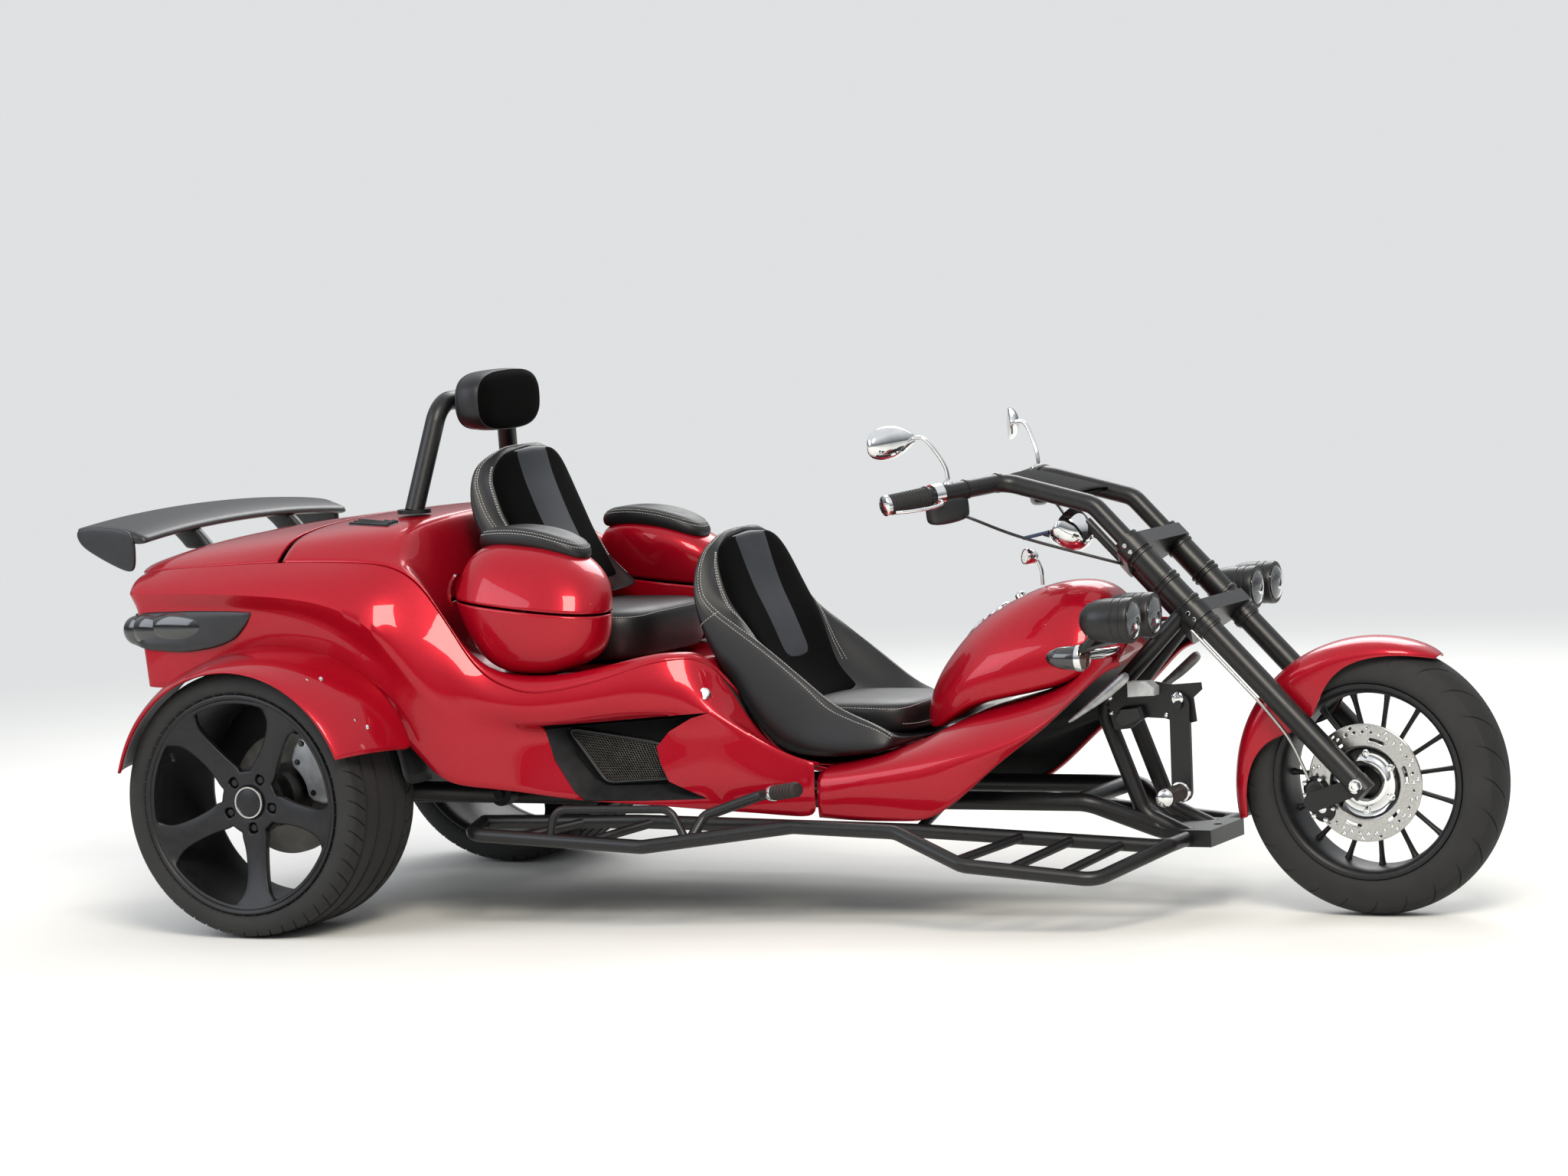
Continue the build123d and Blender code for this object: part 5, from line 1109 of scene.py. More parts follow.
def addStitches(name, piece, lines):  # seams sewn along lines on a seat
    sets = [stitchSet(piece, softLine(line, 10)) for line in lines]
    return addPiece(name, *joinSets(*sets), "chassis", "black_leather", seamThread, (), 0)


# a bucket: rings from its top to its nose, over the back and the sitting side
def seatShell(name, node, table, look):
    verts, count = [], 16
    for k, (back, outer, crest, insert, middle) in enumerate(table):
        ahead, inward, up = look["rolls"][min(k, len(look["rolls"]) - 1)]
        b, l, c, i, m = (sideSpot(-1, p) for p in (back, outer, crest, insert, middle))
        side = l.lerp(c, 0.5) + Vector((0, -look["bulge"], 0)) / 1000
        roll = c.lerp(i, 0.42) + Vector((ahead, inward, up)) / 1000
        half = [b, b.lerp(l, 0.6), l, side, c, roll, i, i.lerp(m, 0.5), m]
        verts += half + [flipSide(p) for p in reversed(half[1:-1])]
    rows = len(table)
    faces = closedFaces(rows, count)
    creases = columnCreases(4, rows, count, look["crease"]) + columnCreases(12, rows, count, look["crease"])
    piece = addPiece(name, verts, faces, "chassis", "black_leather", seatLeather, (node,), 3, 0, creases)
    return piece


def seatPanel(name, base, edges, middles, look, material):  # a sewn-in panel lying on a shell
    points, lifts = [], []
    for j, (edge, middle) in enumerate(zip(edges, middles)):
        for share in look["shares"]:
            point = middle.lerp(edge, abs(share))
            points.append(flipSide(point) if share > 0 else point)
            rim = abs(share) > 0.999 or j in (0, len(edges) - 1)
            lifts.append(-look["drop"] if rim else look["lift"] * (0.75 if abs(share) > 0.9 else 1.0))
    verts, faces = onSkin(base, points, lifts), gridFaces(len(edges), len(look["shares"]))
    return addPiece(name, verts, faces, "chassis", "black_leather", material, (), 1, 2.5, None, True)


def stripeEdges(edges, middles, halves):  # points of a stripe's edge between a panel's middle and its edge
    count = len(edges)
    line = []
    for j, (edge, middle) in enumerate(zip(edges, middles)):
        half = halves[0] + (halves[1] - halves[0]) * j / (count - 1)
        line.append(middle.lerp(edge, min(1.0, half / 1000 / max(1e-6, abs(edge[1])))))
    return line


insertLook = {"shares": (-1, -0.95, -0.78, -0.5, -0.25, 0, 0.25, 0.5, 0.78, 0.95, 1), "lift": 9.0,
    "drop": 3.0}
stripeLook = {"shares": (-1, -0.94, -0.5, 0, 0.5, 0.94, 1), "lift": 11.6, "drop": -8.0}


def seatFace(name, shell, table, last, halves):  # suede insert and the stripe down its middle
    edges, middles = (softLine([sideSpot(-1, row[k]) for row in table[:10]], 3) for k in (3, 4))
    insert = seatPanel(name + "_insert", shell, edges[2:], middles[2:], insertLook, suedeNap)
    stripe = stripeEdges(edges[3:last], middles[3:last], halves)
    seatPanel(name + "_stripe", shell, stripe, middles[3:last], stripeLook, stripeLeather)


def crestLines(table, share, last):  # lines beside the crest, right nose over the top to the left nose
    line = []
    for k in range(last, -1, -1):
        outer, crest, insert = (sideSpot(-1, p) for p in table[k][1:4])
        line.append(crest.lerp(outer if share > 0 else insert, abs(share)))
    return [line + [flipSide(p) for p in reversed(line)]]


def seatSeams(table, last, corner=()):  # beside the crest, round the shell's corner and along the bolsters
    seams = crestLines(table, 0.09, last) + crestLines(table, -0.1, last)
    for side in (1, -1):
        if corner:
            seams.append([sideSpot(-side, p) for p in corner])
        for share in (0.14, 0.24):
            line = []
            for row in table[2:9]:
                crest, insert = (sideSpot(-1, p) for p in row[2:4])
                point = insert.lerp(crest, share)
                line.append(point if side > 0 else flipSide(point))
            seams.append(line)
    return seams


# driver's bucket: leather shell with stitched crest, suede insert and a plain centre stripe
driverTable = (  # back middle, outer edge, crest, insert edge, sitting middle: ahead, half width, height
    ((986, 0, 926), (988, 84, 921), (998, 74, 930), (1005, 66, 926), (1004, 0, 932)),
    ((974, 0, 905), (980, 144, 898), (996, 136, 909), (1012, 128, 904), (1011, 0, 915)),
    ((966, 0, 880), (970, 188, 866), (988, 178, 884), (1020, 178, 884), (1018, 0, 890)),
    ((966, 0, 830), (970, 222, 812), (984, 212, 836), (1038, 208, 842), (1029, 0, 844)),
    ((976, 0, 772), (978, 242, 760), (996, 232, 780), (1060, 219, 788), (1046, 0, 792)),
    ((990, 0, 715), (992, 252, 694), (1036, 240, 740), (1078, 215, 748), (1064, 0, 750)),
    ((1018, 0, 655), (1022, 262, 630), (1092, 243, 704), (1106, 203, 696), (1094, 0, 690)),
    ((1055, 0, 590), (1058, 272, 574), (1158, 245, 662), (1130, 186, 630), (1122, 0, 614)),
    ((1092, 0, 515), (1104, 282, 512), (1228, 249, 614), (1168, 162, 560), (1162, 0, 546)),
    ((1125, 0, 440), (1152, 290, 450), (1290, 252, 566), (1225, 152, 508), (1222, 0, 496)),
    ((1180, 0, 392), (1206, 294, 402), (1350, 256, 516), (1290, 164, 480), (1290, 0, 468)),
    ((1270, 0, 384), (1290, 294, 384), (1412, 260, 487), (1360, 176, 466), (1360, 0, 452)),
    ((1370, 0, 388), (1392, 289, 388), (1466, 262, 465), (1430, 188, 448), (1430, 0, 440)),
    ((1450, 0, 402), (1474, 279, 400), (1502, 257, 440), (1480, 200, 432), (1480, 0, 426)),
    ((1490, 0, 412), (1508, 250, 412), (1514, 238, 424), (1500, 205, 422), (1500, 0, 420)))
driverShell = seatShell("driver_seat_shell", "driver_seat", driverTable,
    {"bulge": 13.0, "rolls": ((2, 0, 1), (4, 3, 1), (6, 10, 2), (4, 14, 3), (4, 14, 4), (6, 10, 6),
    (10, 3, 8), (7, 0, 10), (5, 0, 10)), "crease": 0.35})
seatFace("driver_seat", driverShell, driverTable, 23, (92, 76))
driverSeams = seatSeams(driverTable, 13, ((1046, 236, 739), (1020, 250, 720), (996, 252, 700)))
addStitches("driver_seat_stitches", driverShell, driverSeams)


# a pad from level rings: height, rear end, front end, half width, side place
def padRings(table, power, sides):
    rings = []
    for height, rearEnd, frontEnd, half, y in table:
        ring = []
        for c, d in roundSteps(sides):
            x = (rearEnd + frontEnd) / 2 + (frontEnd - rearEnd) / 2 * squared(c, 2 / power)
            ring.append(Vector((x, y + half * squared(d, 2 / power), height)))
        rings.append(ring)
    return rings


def padPiece(name, rings, bend, body, replaced):  # bend lifts each point by its place
    skin = loftSet([[spot(p[0], p[1], p[2] + bend(p[0], p[1])) for p in ring] for ring in rings])
    piece = addPiece(name, *skin, body, "black_leather", seatLeather, replaced, 2)
    return piece


# driver's cushion between the bolsters: crowned, with a sewn front edge
cushionTable = ((430, 1216, 1484, 150, 0), (440, 1204, 1500, 168, 0), (462, 1196, 1507, 176, 0),
    (486, 1192, 1508, 178, 0), (500, 1194, 1504, 174, 0), (508, 1202, 1494, 162, 0),
    (513, 1222, 1470, 136, 0), (516, 1262, 1420, 90, 0))


def cushionBend(s, y):  # up towards the back, down at the sides
    return 0.00030 * max(0.0, 1300 - s) ** 1.9 * 0.5 - 0.00012 * (abs(y) - 60) ** 2 * (abs(y) > 60)


driverCushion = padPiece("driver_seat_cushion", padRings(cushionTable, 4.0, 32), cushionBend, "chassis", ())
lip = [spot(1300, -172, 500), spot(1400, -174, 498), spot(1470, -168, 498), spot(1497, -130, 500),
    spot(1503, -60, 503), spot(1504, 0, 504)]
low = [spot(1496, -160, 452), spot(1508, -90, 452), spot(1510, 0, 452)]
addStitches("driver_cushion_stitches", driverCushion, [bothSides(lip), bothSides(low)])

# passenger's seat: back with insert and stripe, and a crowned cushion
passengerTable = (
    ((380, 0, 1144), (384, 82, 1136), (394, 74, 1146), (404, 66, 1141), (405, 0, 1148)),
    ((362, 0, 1128), (364, 148, 1116), (386, 138, 1128), (410, 128, 1124), (413, 0, 1136)),
    ((350, 0, 1100), (353, 186, 1090), (372, 178, 1104), (411, 176, 1100), (420, 0, 1108)),
    ((344, 0, 1060), (352, 206, 1048), (368, 198, 1066), (417, 202, 1068), (430, 0, 1072)),
    ((340, 0, 1015), (356, 220, 1008), (380, 210, 1034), (428, 208, 1034), (443, 0, 1036)),
    ((334, 0, 965), (366, 228, 968), (402, 216, 986), (446, 210, 986), (463, 0, 988)),
    ((330, 0, 920), (384, 232, 928), (434, 217, 940), (467, 202, 942), (482, 0, 943)),
    ((336, 0, 870), (398, 232, 878), (470, 217, 890), (495, 190, 892), (507, 0, 893)),
    ((366, 0, 820), (418, 231, 824), (515, 216, 838), (527, 180, 840), (537, 0, 841)),
    ((398, 0, 768), (450, 229, 770), (566, 215, 792), (556, 170, 790), (565, 0, 791)),
    ((430, 0, 752), (482, 222, 752), (626, 212, 757), (590, 165, 757), (590, 0, 760)))
backShell = seatShell("passenger_back_shell", "passenger_back", passengerTable,
    {"bulge": 9.0, "rolls": ((2, 0, 1), (4, 3, 1), (6, 9, 2), (4, 12, 3), (4, 12, 3), (6, 8, 4), (6, 3, 5)),
    "crease": 0.35})
seatFace("passenger_back", backShell, passengerTable, 25, (84, 78))
addStitches("passenger_back_stitches", backShell, seatSeams(passengerTable, 9))
cushionTable = ((613, 470, 786, 196, 0), (622, 452, 802, 222, 0), (650, 444, 810, 232, 0),
    (690, 442, 814, 235, 0), (718, 446, 812, 232, 0), (733, 456, 804, 222, 0), (741, 474, 786, 200, 0),
    (746, 510, 750, 146, 0))


def cushionCrown(s, y):  # low at the sides
    return 6.0 * cos(y / 240) - 5.0


passengerCushion = padPiece("passenger_cushion_pad", padRings(cushionTable, 4.2, 40), cushionCrown,
    "chassis", ("passenger_cushion",))
lip = [spot(600, -226, 724), spot(700, -224, 724), spot(768, -208, 724), spot(798, -166, 724),
    spot(806, -88, 726), spot(808, 0, 727)]
addStitches("passenger_cushion_stitches", passengerCushion, [bothSides(lip)])

# headrest on the hoop: dark front, piped edges
# ahead, half width, half height
headTable = ((283, 118, 50), (288, 146, 64), (300, 160, 73), (322, 166, 77), (346, 166, 77), (362, 160, 74),
    (374, 146, 66), (381, 118, 50))
headLook = {"middle": 1257.0, "power": 3.0, "sides": 32, "pipe": 1.7}


def headRing(s, half, tall):
    ring = []
    for c, d in roundSteps(headLook["sides"]):
        ring.append(spot(s, half * squared(c, 2 / headLook["power"]), headLook["middle"]
            + tall * squared(d, 2 / headLook["power"])))
    return ring


verts, faces = loftSet([headRing(*row) for row in headTable])
headPad = addPiece("headrest_pad", verts, faces, "chassis", "black_leather", seatLeather, ("headrest",), 2,
    0, rowCreases(2, 32, 0.3, True) + rowCreases(5, 32, 0.3, True), others=(suedeNap,),
    pick=lambda index: 1 if 5 * 32 <= index < 7 * 32 or index > 7 * 32 else 0)
sets = [tubeSet(onSkin(headPad, headRing(*headTable[k]), 1.0), headLook["pipe"], 8, True) for k in (2, 5)]
addPiece("headrest_piping", *joinSets(*sets), "chassis", "black_leather", stripeLeather, (), 1)

# armrest pads on the pod lids, sewn round their crest
# height, rear, front, half
padTable = ((904, 470, 722, 56), (910, 457, 737, 65), (923, 451, 743, 69), (936, 453, 741, 68),
    (945, 461, 733, 63), (951, 475, 717, 54), (955, 500, 692, 38))
padLook = {"y": 322.0, "power": 2.8}


def padBend(s, y):  # arched along the pad
    return 6 - 0.11 * (s - 595) - 0.0012 * (s - 590) ** 2


for hand, side in hands:
    rings = padRings([(*row, side * padLook["y"]) for row in padTable], padLook["power"], 32)
    pad = padPiece("armrest_pad_top_" + hand, rings, padBend, "armrest_" + hand, ("armrest_pad_" + hand,))
    sets = []
    for height, rearEnd, frontEnd, half in ((939, 458, 736, 66), (945, 465, 729, 61)):
        ring = padRings(((height, rearEnd, frontEnd, half, side * padLook["y"]),), padLook["power"], 64)[0]
        line = [spot(p[0], p[1], p[2] + padBend(p[0], p[1])) for p in ring]
        sets.append(stitchSet(pad, line + line[:1]))
    addPiece("armrest_pad_stitches_" + hand, *joinSets(*sets), "armrest_" + hand, "black_leather",
        seamThread, (), 0)
print("seats ready")


# middle of the upper clamp, slope of the legs
forkLook = {"head": (2066.3, 895.4), "rake": (0.69214, 0.72176)}


def fork(down, out, side):  # a place along the fork: down its legs, out to the front, to the left
    head, up = forkLook["head"]
    run, fall = forkLook["rake"]
    return spot(head + run * down + fall * out, side, up - fall * down + run * out)


forkDown = Vector((forkLook["rake"][0], 0, -forkLook["rake"][1]))

# side cavities: cut through the side shells under the crest, each with a moulded tray and a wire mesh
cavityLook = {"inside": 300.0, "outside": 560.0, "tuck": -2.0, "floor": 404.0, "slope": 0.148, "rows": 18,
    "columns": 30, "wire": 2.0, "stand": 9.0}
# ahead, height
cavityRim = ((668, 487), (690, 401), (741, 326), (768, 302), (915, 300), (1040, 302), (1072, 304),
    (1030, 322), (978, 346), (958, 391), (948, 429), (980, 466), (1040, 498), (1090, 512), (983, 505),
    (812, 493))
cavityFloor = ((700, 480), (722, 405), (768, 347), (796, 336), (912, 334), (962, 337), (968, 339),
    (972, 342), (974, 348), (953, 391), (943, 429), (974, 464), (1030, 494), (1070, 505), (980, 500),
    (815, 489))
meshCorners = ((708, 474), (943, 434), (968, 348), (800, 340))


def sideHalf(s, z):  # half width of the body's side below its crest
    lines = sorted((smoothAlong(line, s) for line in (underLine, panelLine, hemLine)), key=lambda p: p[1])
    for (halfLow, low), (halfHigh, high) in zip(lines, lines[1:]):
        if z <= high or high == lines[-1][1]:
            return halfLow + (halfHigh - halfLow) * (z - low) / (high - low)


def trayHalf(s):  # half width at the tray's floor
    return cavityLook["floor"] - cavityLook["slope"] * (s - 668)


sets = []
for hand, side in hands:
    sets.append(loftSet([[spot(s, side * cavityLook[key], z) for s, z in cavityRim]
        for key in ("inside", "outside")]))
    rim = onSkin(sideShells, [spot(s, side * sideHalf(s, z), z) for s, z in cavityRim], cavityLook["tuck"])
    n = len(cavityRim)
    verts = rim + [spot(s, side * trayHalf(s), z) for s, z in cavityFloor]
    # the upper walls and the floor of the tray take the darker matt sheet: painted shade under the crest's
    # overhang
    addPiece("cavity_tray_" + hand, verts, gridFaces(2, n, True) + [tuple(range(n, 2 * n))], "chassis",
        *blackPlastic, ("side_grille_" + hand,), 0, sharp=40, others=(mattSheetAndPaintedShade,),
        pick=lambda index: 1 if index >= n - 6 else 0)
    points = []
    for r in range(cavityLook["rows"] + 1):
        for c in range(cavityLook["columns"] + 1):
            u, v = c / cavityLook["columns"], r / cavityLook["rows"]
            s, z = ((1 - v) * ((1 - u) * a + u * b) + v * ((1 - u) * d + u * e)
                for a, b, e, d in zip(*meshCorners))
            points.append(spot(s, side * (trayHalf(s) + cavityLook["stand"]), z))
    mesh = addPiece("grille_mesh_" + hand, points, gridFaces(cavityLook["rows"] + 1, cavityLook["columns"]
        + 1), "chassis", "satin_black_plastic", wornSteel, (), 0)
    wires = mesh.modifiers.new("wires", "WIREFRAME")
    wires.thickness, wires.use_replace, wires.use_even_offset = cavityLook["wire"] / 1000, True, False
    border = [spot(s, side * (trayHalf(s) + cavityLook["stand"]), z) for s, z in meshCorners]
    addPiece("grille_frame_" + hand, *tubeSet(loopPoints(border, 6), 4.5, 8, True), "chassis", *blackPlastic,
        (), 1)
verts, faces = joinSets(*sets)
mesh = bpy.data.meshes.new("cavity_cutter")
mesh.from_pydata([tuple(v) for v in verts], [], faces)
work = bmesh.new()
work.from_mesh(mesh)
bmesh.ops.recalc_face_normals(work, faces=work.faces)
work.to_mesh(mesh)
work.free()
cutter = addObject("cavity_cutter", mesh)
cut = sideShells.modifiers.new("cut", "BOOLEAN")
cut.operation, cut.object, cut.solver = "DIFFERENCE", cutter, "EXACT"
bpy.context.view_layer.update()
baked = bpy.data.meshes.new_from_object(sideShells.evaluated_get(bpy.context.evaluated_depsgraph_get()))
baked.set_sharp_from_angle(angle=radians(50))
sideShells.modifiers.clear()
sideShells.data = baked
bpy.data.objects.remove(cutter)

# tail lamps: three smoked eggs in a dark teardrop recess
recessTop = ((-402, 776), (-330, 781), (-200, 784), (-100, 783), (-44, 780))  # ahead, height
recessLow = ((-402, 697), (-328, 687), (-246, 682), (-163, 691), (-99, 711), (-68, 738), (-50, 760),
    (-44, 774))
# ahead, half length, radius, height
lampEggs = ((-266, 92, 40, 742), (-348, 56, 41, 736), (-392, 40, 39, 734))
for hand, side in hands:
    verts, across = [], 8
    run = [-404 + 12 * k for k in range(31)]
    for s in run:
        top, low, under, panel = (smoothAlong(line, s)[0] for line in (recessTop, recessLow, underLine,
            panelLine))
        for c in range(across + 1):
            z = low + (top - low) * c / across
            half = under + (panel - under) * min(1.0, max(0.0, (784 - z) / 90))
            turn = max(0.0, (-352 - s) / 52)
            rim = c in (0, across) or s in (run[0], run[-1])
            verts.append(spot(s, side * (half + (1.5 if rim else 4.0) - 9 * turn**2), z))
    addPiece("lamp_recess_" + hand, verts, gridFaces(len(run), across + 1), "chassis", "smoked_lens",
        moldedAbs, ("tail_lamp_" + hand,), 1, 5.0, None, side < 0)
    sets = []
    for s, length, radius, z in lampEggs:
        rings = []
        for k in range(9):
            angle = pi * (0.04 + 0.92 * k / 8)
            r = radius * sin(angle)
            rings.append([spot(s - length * cos(angle),
                side * (606 - 0.15 * max(0, -320 - s) + 0.55 * r * cos(2 * pi * q / 16)),
                z + r * sin(2 * pi * q / 16)) for q in range(16)])
        sets.append(loftSet(rings))
    addPiece("lamp_eggs_" + hand, *joinSets(*sets), "chassis", "smoked_lens", smokedLens, (), 2)

# gloss band round the tail under the lid's lip
verts = []
shares = [-0.99, -0.96, -0.9, -0.75, -0.5, -0.25, 0, 0.25, 0.5, 0.75, 0.9, 0.96, 0.99]
for share in shares:
    for z, back in ((838, 16), (846, 9), (862, 9), (870, 16)):
        point = tailPoint(abs(share), 530, z)
        verts.append(Vector((point[0] + back / 1000, copysign(abs(point[1]), share), point[2])))
addPiece("tail_band", verts, gridFaces(len(shares), 4), "chassis", "smoked_lens", smokedLens, (), 2, 4.0,
    None, True)
print("tail ready")

# headlamps: four grooved bullets with bowl and glass on one bar
bulletProfile = ((4, 43), (5, 47), (4, 51), (0, 52.5), (-12, 52.5), (-14, 50.5), (-18, 50.5), (-20, 52),
    (-30, 52), (-32, 50), (-36, 50), (-38, 51.5), (-60, 51), (-85, 47), (-105, 38), (-118, 24), (-124, 8),
    (-125, 0.5))
bowlProfile = ((4, 43), (-6, 40), (-20, 30), (-28, 16), (-30, 0.5))
paneProfile = ((2, 44), (7, 38), (11, 26), (13.5, 12), (14, 0.5))
lampLook = {"face": 2212, "up": 736, "sides": (-470, -339, 339, 470), "bar": (2094.2, 673.9)}
sets, bowls, panes = [], [], []
for y in lampLook["sides"]:
    face = spot(lampLook["face"], y, lampLook["up"])
    sets.append(turned(bulletProfile, face, forward, 48))
    bowls.append(turned(bowlProfile, face, forward, 48))
    bowls.append(turned(((-30, 9), (-14, 9), (-8, 6), (-6, 0.5)), face, forward, 24))
    panes.append(turned(paneProfile, face, forward, 48))
    sets.append(tubeSet([spot(lampLook["bar"][0], y, lampLook["bar"][1]), spot(2120, y, 702),
        spot(2140, y, 700)], 9, 12))
sets.append(tubeSet([spot(lampLook["bar"][0], y, lampLook["bar"][1]) for y in (-478, -300, -100, 100, 300,
    478)], 11, 16))
addHard("headlamp_shells", sets, "chassis", *blackCoat, ("headlamps",), sharp=32)
# the bowls' darkened mirror is painted shade
addHard("headlamp_bowls", bowls, "chassis", "bright_chrome", lampReflectorPaintedShade)
addPiece("headlamp_panes", *joinSets(*panes), "chassis", "smoked_lens", lampGlass, (), 0, 1.6, None, False,
    40)

# turn signals: dark bullets with a chrome bezel, each on a chrome arm from the cowl's nose
signalLook = {
    "face": (2072, 420, 645),
    "bullet": ((-94, 0.5), (-92, 9), (-82, 18), (-60, 25.5), (-30, 28.4), (-16, 28.6)),
    "bezel": ((-16, 28), (-15, 31), (-5, 31), (-2, 29), (0, 26)),
    "lens": ((-1, 27), (5, 25.5), (10, 20), (13, 11), (14, 0.5)),
    "arm": ((2050, 398, 645), (2056, 330, 643), (2064, 262, 640), (2070, 206, 640))}
for hand, side in hands:
    face = sideSpot(side, signalLook["face"])
    addHard("signal_body_" + hand, [turned(signalLook["bullet"], face, forward, 32)], "chassis",
        "bright_chrome", smokedLens)
    arm = softLine([sideSpot(side, p) for p in signalLook["arm"]], 5)
    addHard("signal_arm_" + hand, [turned(signalLook["bezel"], face, forward, 32),
        tubeSet(arm, [10 + 3 * sin(k / 15 * pi) for k in range(len(arm))], 16)], "chassis", *brightChrome,
        ("turn_signal_" + hand,))
    addHard("signal_lens_" + hand, [turned(signalLook["lens"], face, forward, 32)], "chassis", "smoked_lens",
        amberLens)

# mirrors: chrome teardrops on bent stems
# along, height, depth
mirrorRun = ((-74, 0.3, 0.5), (-66, 0.62, 0.75), (-48, 0.88, 0.95), (-20, 1.0, 1.0), (10, 0.94, 0.95),
    (36, 0.72, 0.8), (58, 0.42, 0.55), (72, 0.2, 0.34))
mirrorLook = {"middle": (1578, 352, 1146), "tall": 42.0, "deep": 26.0, "glass": 5.0}
for hand, side in hands:
    middle = sideSpot(side, mirrorLook["middle"])
    along = Vector((0.43, -side * 0.9, 0.06)).normalized()
    facing = Vector((-0.9, -side * 0.43, 0)).normalized()
    rings = []
    for place, tall, deep in mirrorRun:
        ring = []
        for c, d in roundSteps(16):
            ring.append(middle + along * (place / 1000)
                + facing * ((mirrorLook["glass"] if c > 0 else mirrorLook["deep"]) * c * deep / 1000)
                + Vector((0, 0, mirrorLook["tall"] * d * tall / 1000)))
        rings.append(ring)
    bends = ((1640, 300, 1150), (1674, 279, 1096), (1684, 273, 1060), (1684, 273, 1022))
    stem = tubeSet(softLine([middle + along * 0.056] + [sideSpot(side, p) for p in bends], 5), 5, 12)
    foot = turned(((-4, 13), (4, 13), (9, 10), (12, 6)), spot(1684, side * 273, 1038), Vector((0, 0, 1)), 20)
    addPiece("mirror_head_" + hand, *joinSets(loftSet(rings), stem, foot), "steering", *brightChrome,
        ("mirror_" + hand,), 1)

# grips: ribbed rubber with chrome ends and lever, switch box with its cable
for hand, side in hands:
    inner, outer = spot(1653, side * 330, 1015), spot(1588, side * 420, 1002)
    way = (outer - inner).normalized()
    bar = (spot(1763, side * 125, 1034) - inner).normalized()
    ribs = [(0, 22.4), (0, 26), (4, 26), (5, 24)]
    for k in range(12):
        ribs += [(7 + 8 * k, 24.2), (12 + 8 * k, 24.2), (13 + 8 * k, 23), (14 + 8 * k, 23)]
    ribs += [(106, 24), (106, 10)]
    addHard("grip_sleeve_" + hand, [turned(ribs, inner, way, 28)], "steering", "grip_rubber", gripRubber,
        ("grip_" + hand,))
    lever = softLine([inner + bar * 0.03 + Vector((0.012, 0, -0.012)), inner + Vector((0.04, 0, -0.016)),
        inner + way * 0.04 + Vector((0.052, 0, -0.018)), inner + way * 0.09 + Vector((0.046, 0, -0.017)),
        inner + way * 0.118 + Vector((0.032, 0, -0.015))], 5)
    addHard("grip_chrome_" + hand,
        [turned(((104, 12), (105, 24.5), (114, 24.5), (117, 20), (118, 0.5)), inner, way, 28),
        tubeSet(lever, 4.5, 10), turned(((14, 23), (14, 27), (40, 27), (40, 23)), inner, bar, 28)],
        "steering", *brightChrome)
    rings = []
    drop = Vector((0, 0, -1)) - bar * Vector((0, 0, -1)).dot(bar)
    wide = bar.cross(drop).normalized()
    for place, tall, deep in ((2, 16, 10), (4, 25, 17), (14, 32, 21), (60, 34, 22), (100, 30, 20),
            (112, 24, 16), (114, 15, 9)):
        ring = []
        for c, d in roundSteps(16):
            ring.append(inner + bar * (place / 1000) + drop * (40 + tall * squared(c, 0.5)) / 1000
                + wide * (deep * squared(d, 0.5)) / 1000)
        rings.append(ring)
    start, end = inner + bar * 0.1 + drop * 0.06, fork(40, -60, side * 60)
    cable = softLine([start, spot(1735, side * 250, 955), spot(1830, side * 160, 900), end], 6)
    addPiece("switch_box_" + hand, *joinSets(loftSet(rings), tubeSet(cable, 4, 8)), "steering",
        *blackPlastic, (), 1)
print("controls ready")

# instrument: chrome bowl with a dial, and its post
dialAxis = Vector((-0.8, 0, 0.6))
dialPlace = spot(1890.3, 0, 899.8)
bowl = [turned(((36, 44), (40, 45), (42, 48), (38, 50.5), (28, 51), (4, 48), (-18, 40), (-34, 26), (-41, 10),
    (-42, 0.5)), dialPlace, dialAxis, 48)]
post = [tubeSet([spot(2014, 0, 828.6), spot(1970, 0, 874), spot(1919, 0, 927.5)], 12, 16)]
addHard("instrument_post", post, "steering", *blackCoat)
addHard("instrument_bowl", bowl, "steering", *brightChrome, ("instrument_pod",))
dialProfile = ((30, 44.6), (36, 44.4), (36.5, 40), (36, 20), (36.5, 6), (38, 4), (38.5, 0.5))
addHard("instrument_dial", [turned(dialProfile, dialPlace, dialAxis, 48)], "steering", "satin_black_plastic",
    smokedLens)
upward = dialAxis.cross(toLeft)
base = dialPlace + dialAxis * 0.0368
sets = []
for k in range(13):
    angle = radians(-120 + 20 * k)
    out = toLeft * sin(angle) + upward * -cos(angle)
    sets.append(tubeSet([base + out * 0.033, base + out * 0.037, base + out * 0.041], 0.9 if k % 3 else 1.5,
        6))
needle = toLeft * -0.5 + upward * -0.8
sets.append(tubeSet([base + dialAxis * 0.002, base + dialAxis * 0.002 + needle * 0.018,
    base + dialAxis * 0.002 + needle * 0.034], [1.4, 1.0, 0.5], 6))
addPiece("instrument_marks", *joinSets(*sets), "steering", "plate_enamel", plateEnamel, (), 0)

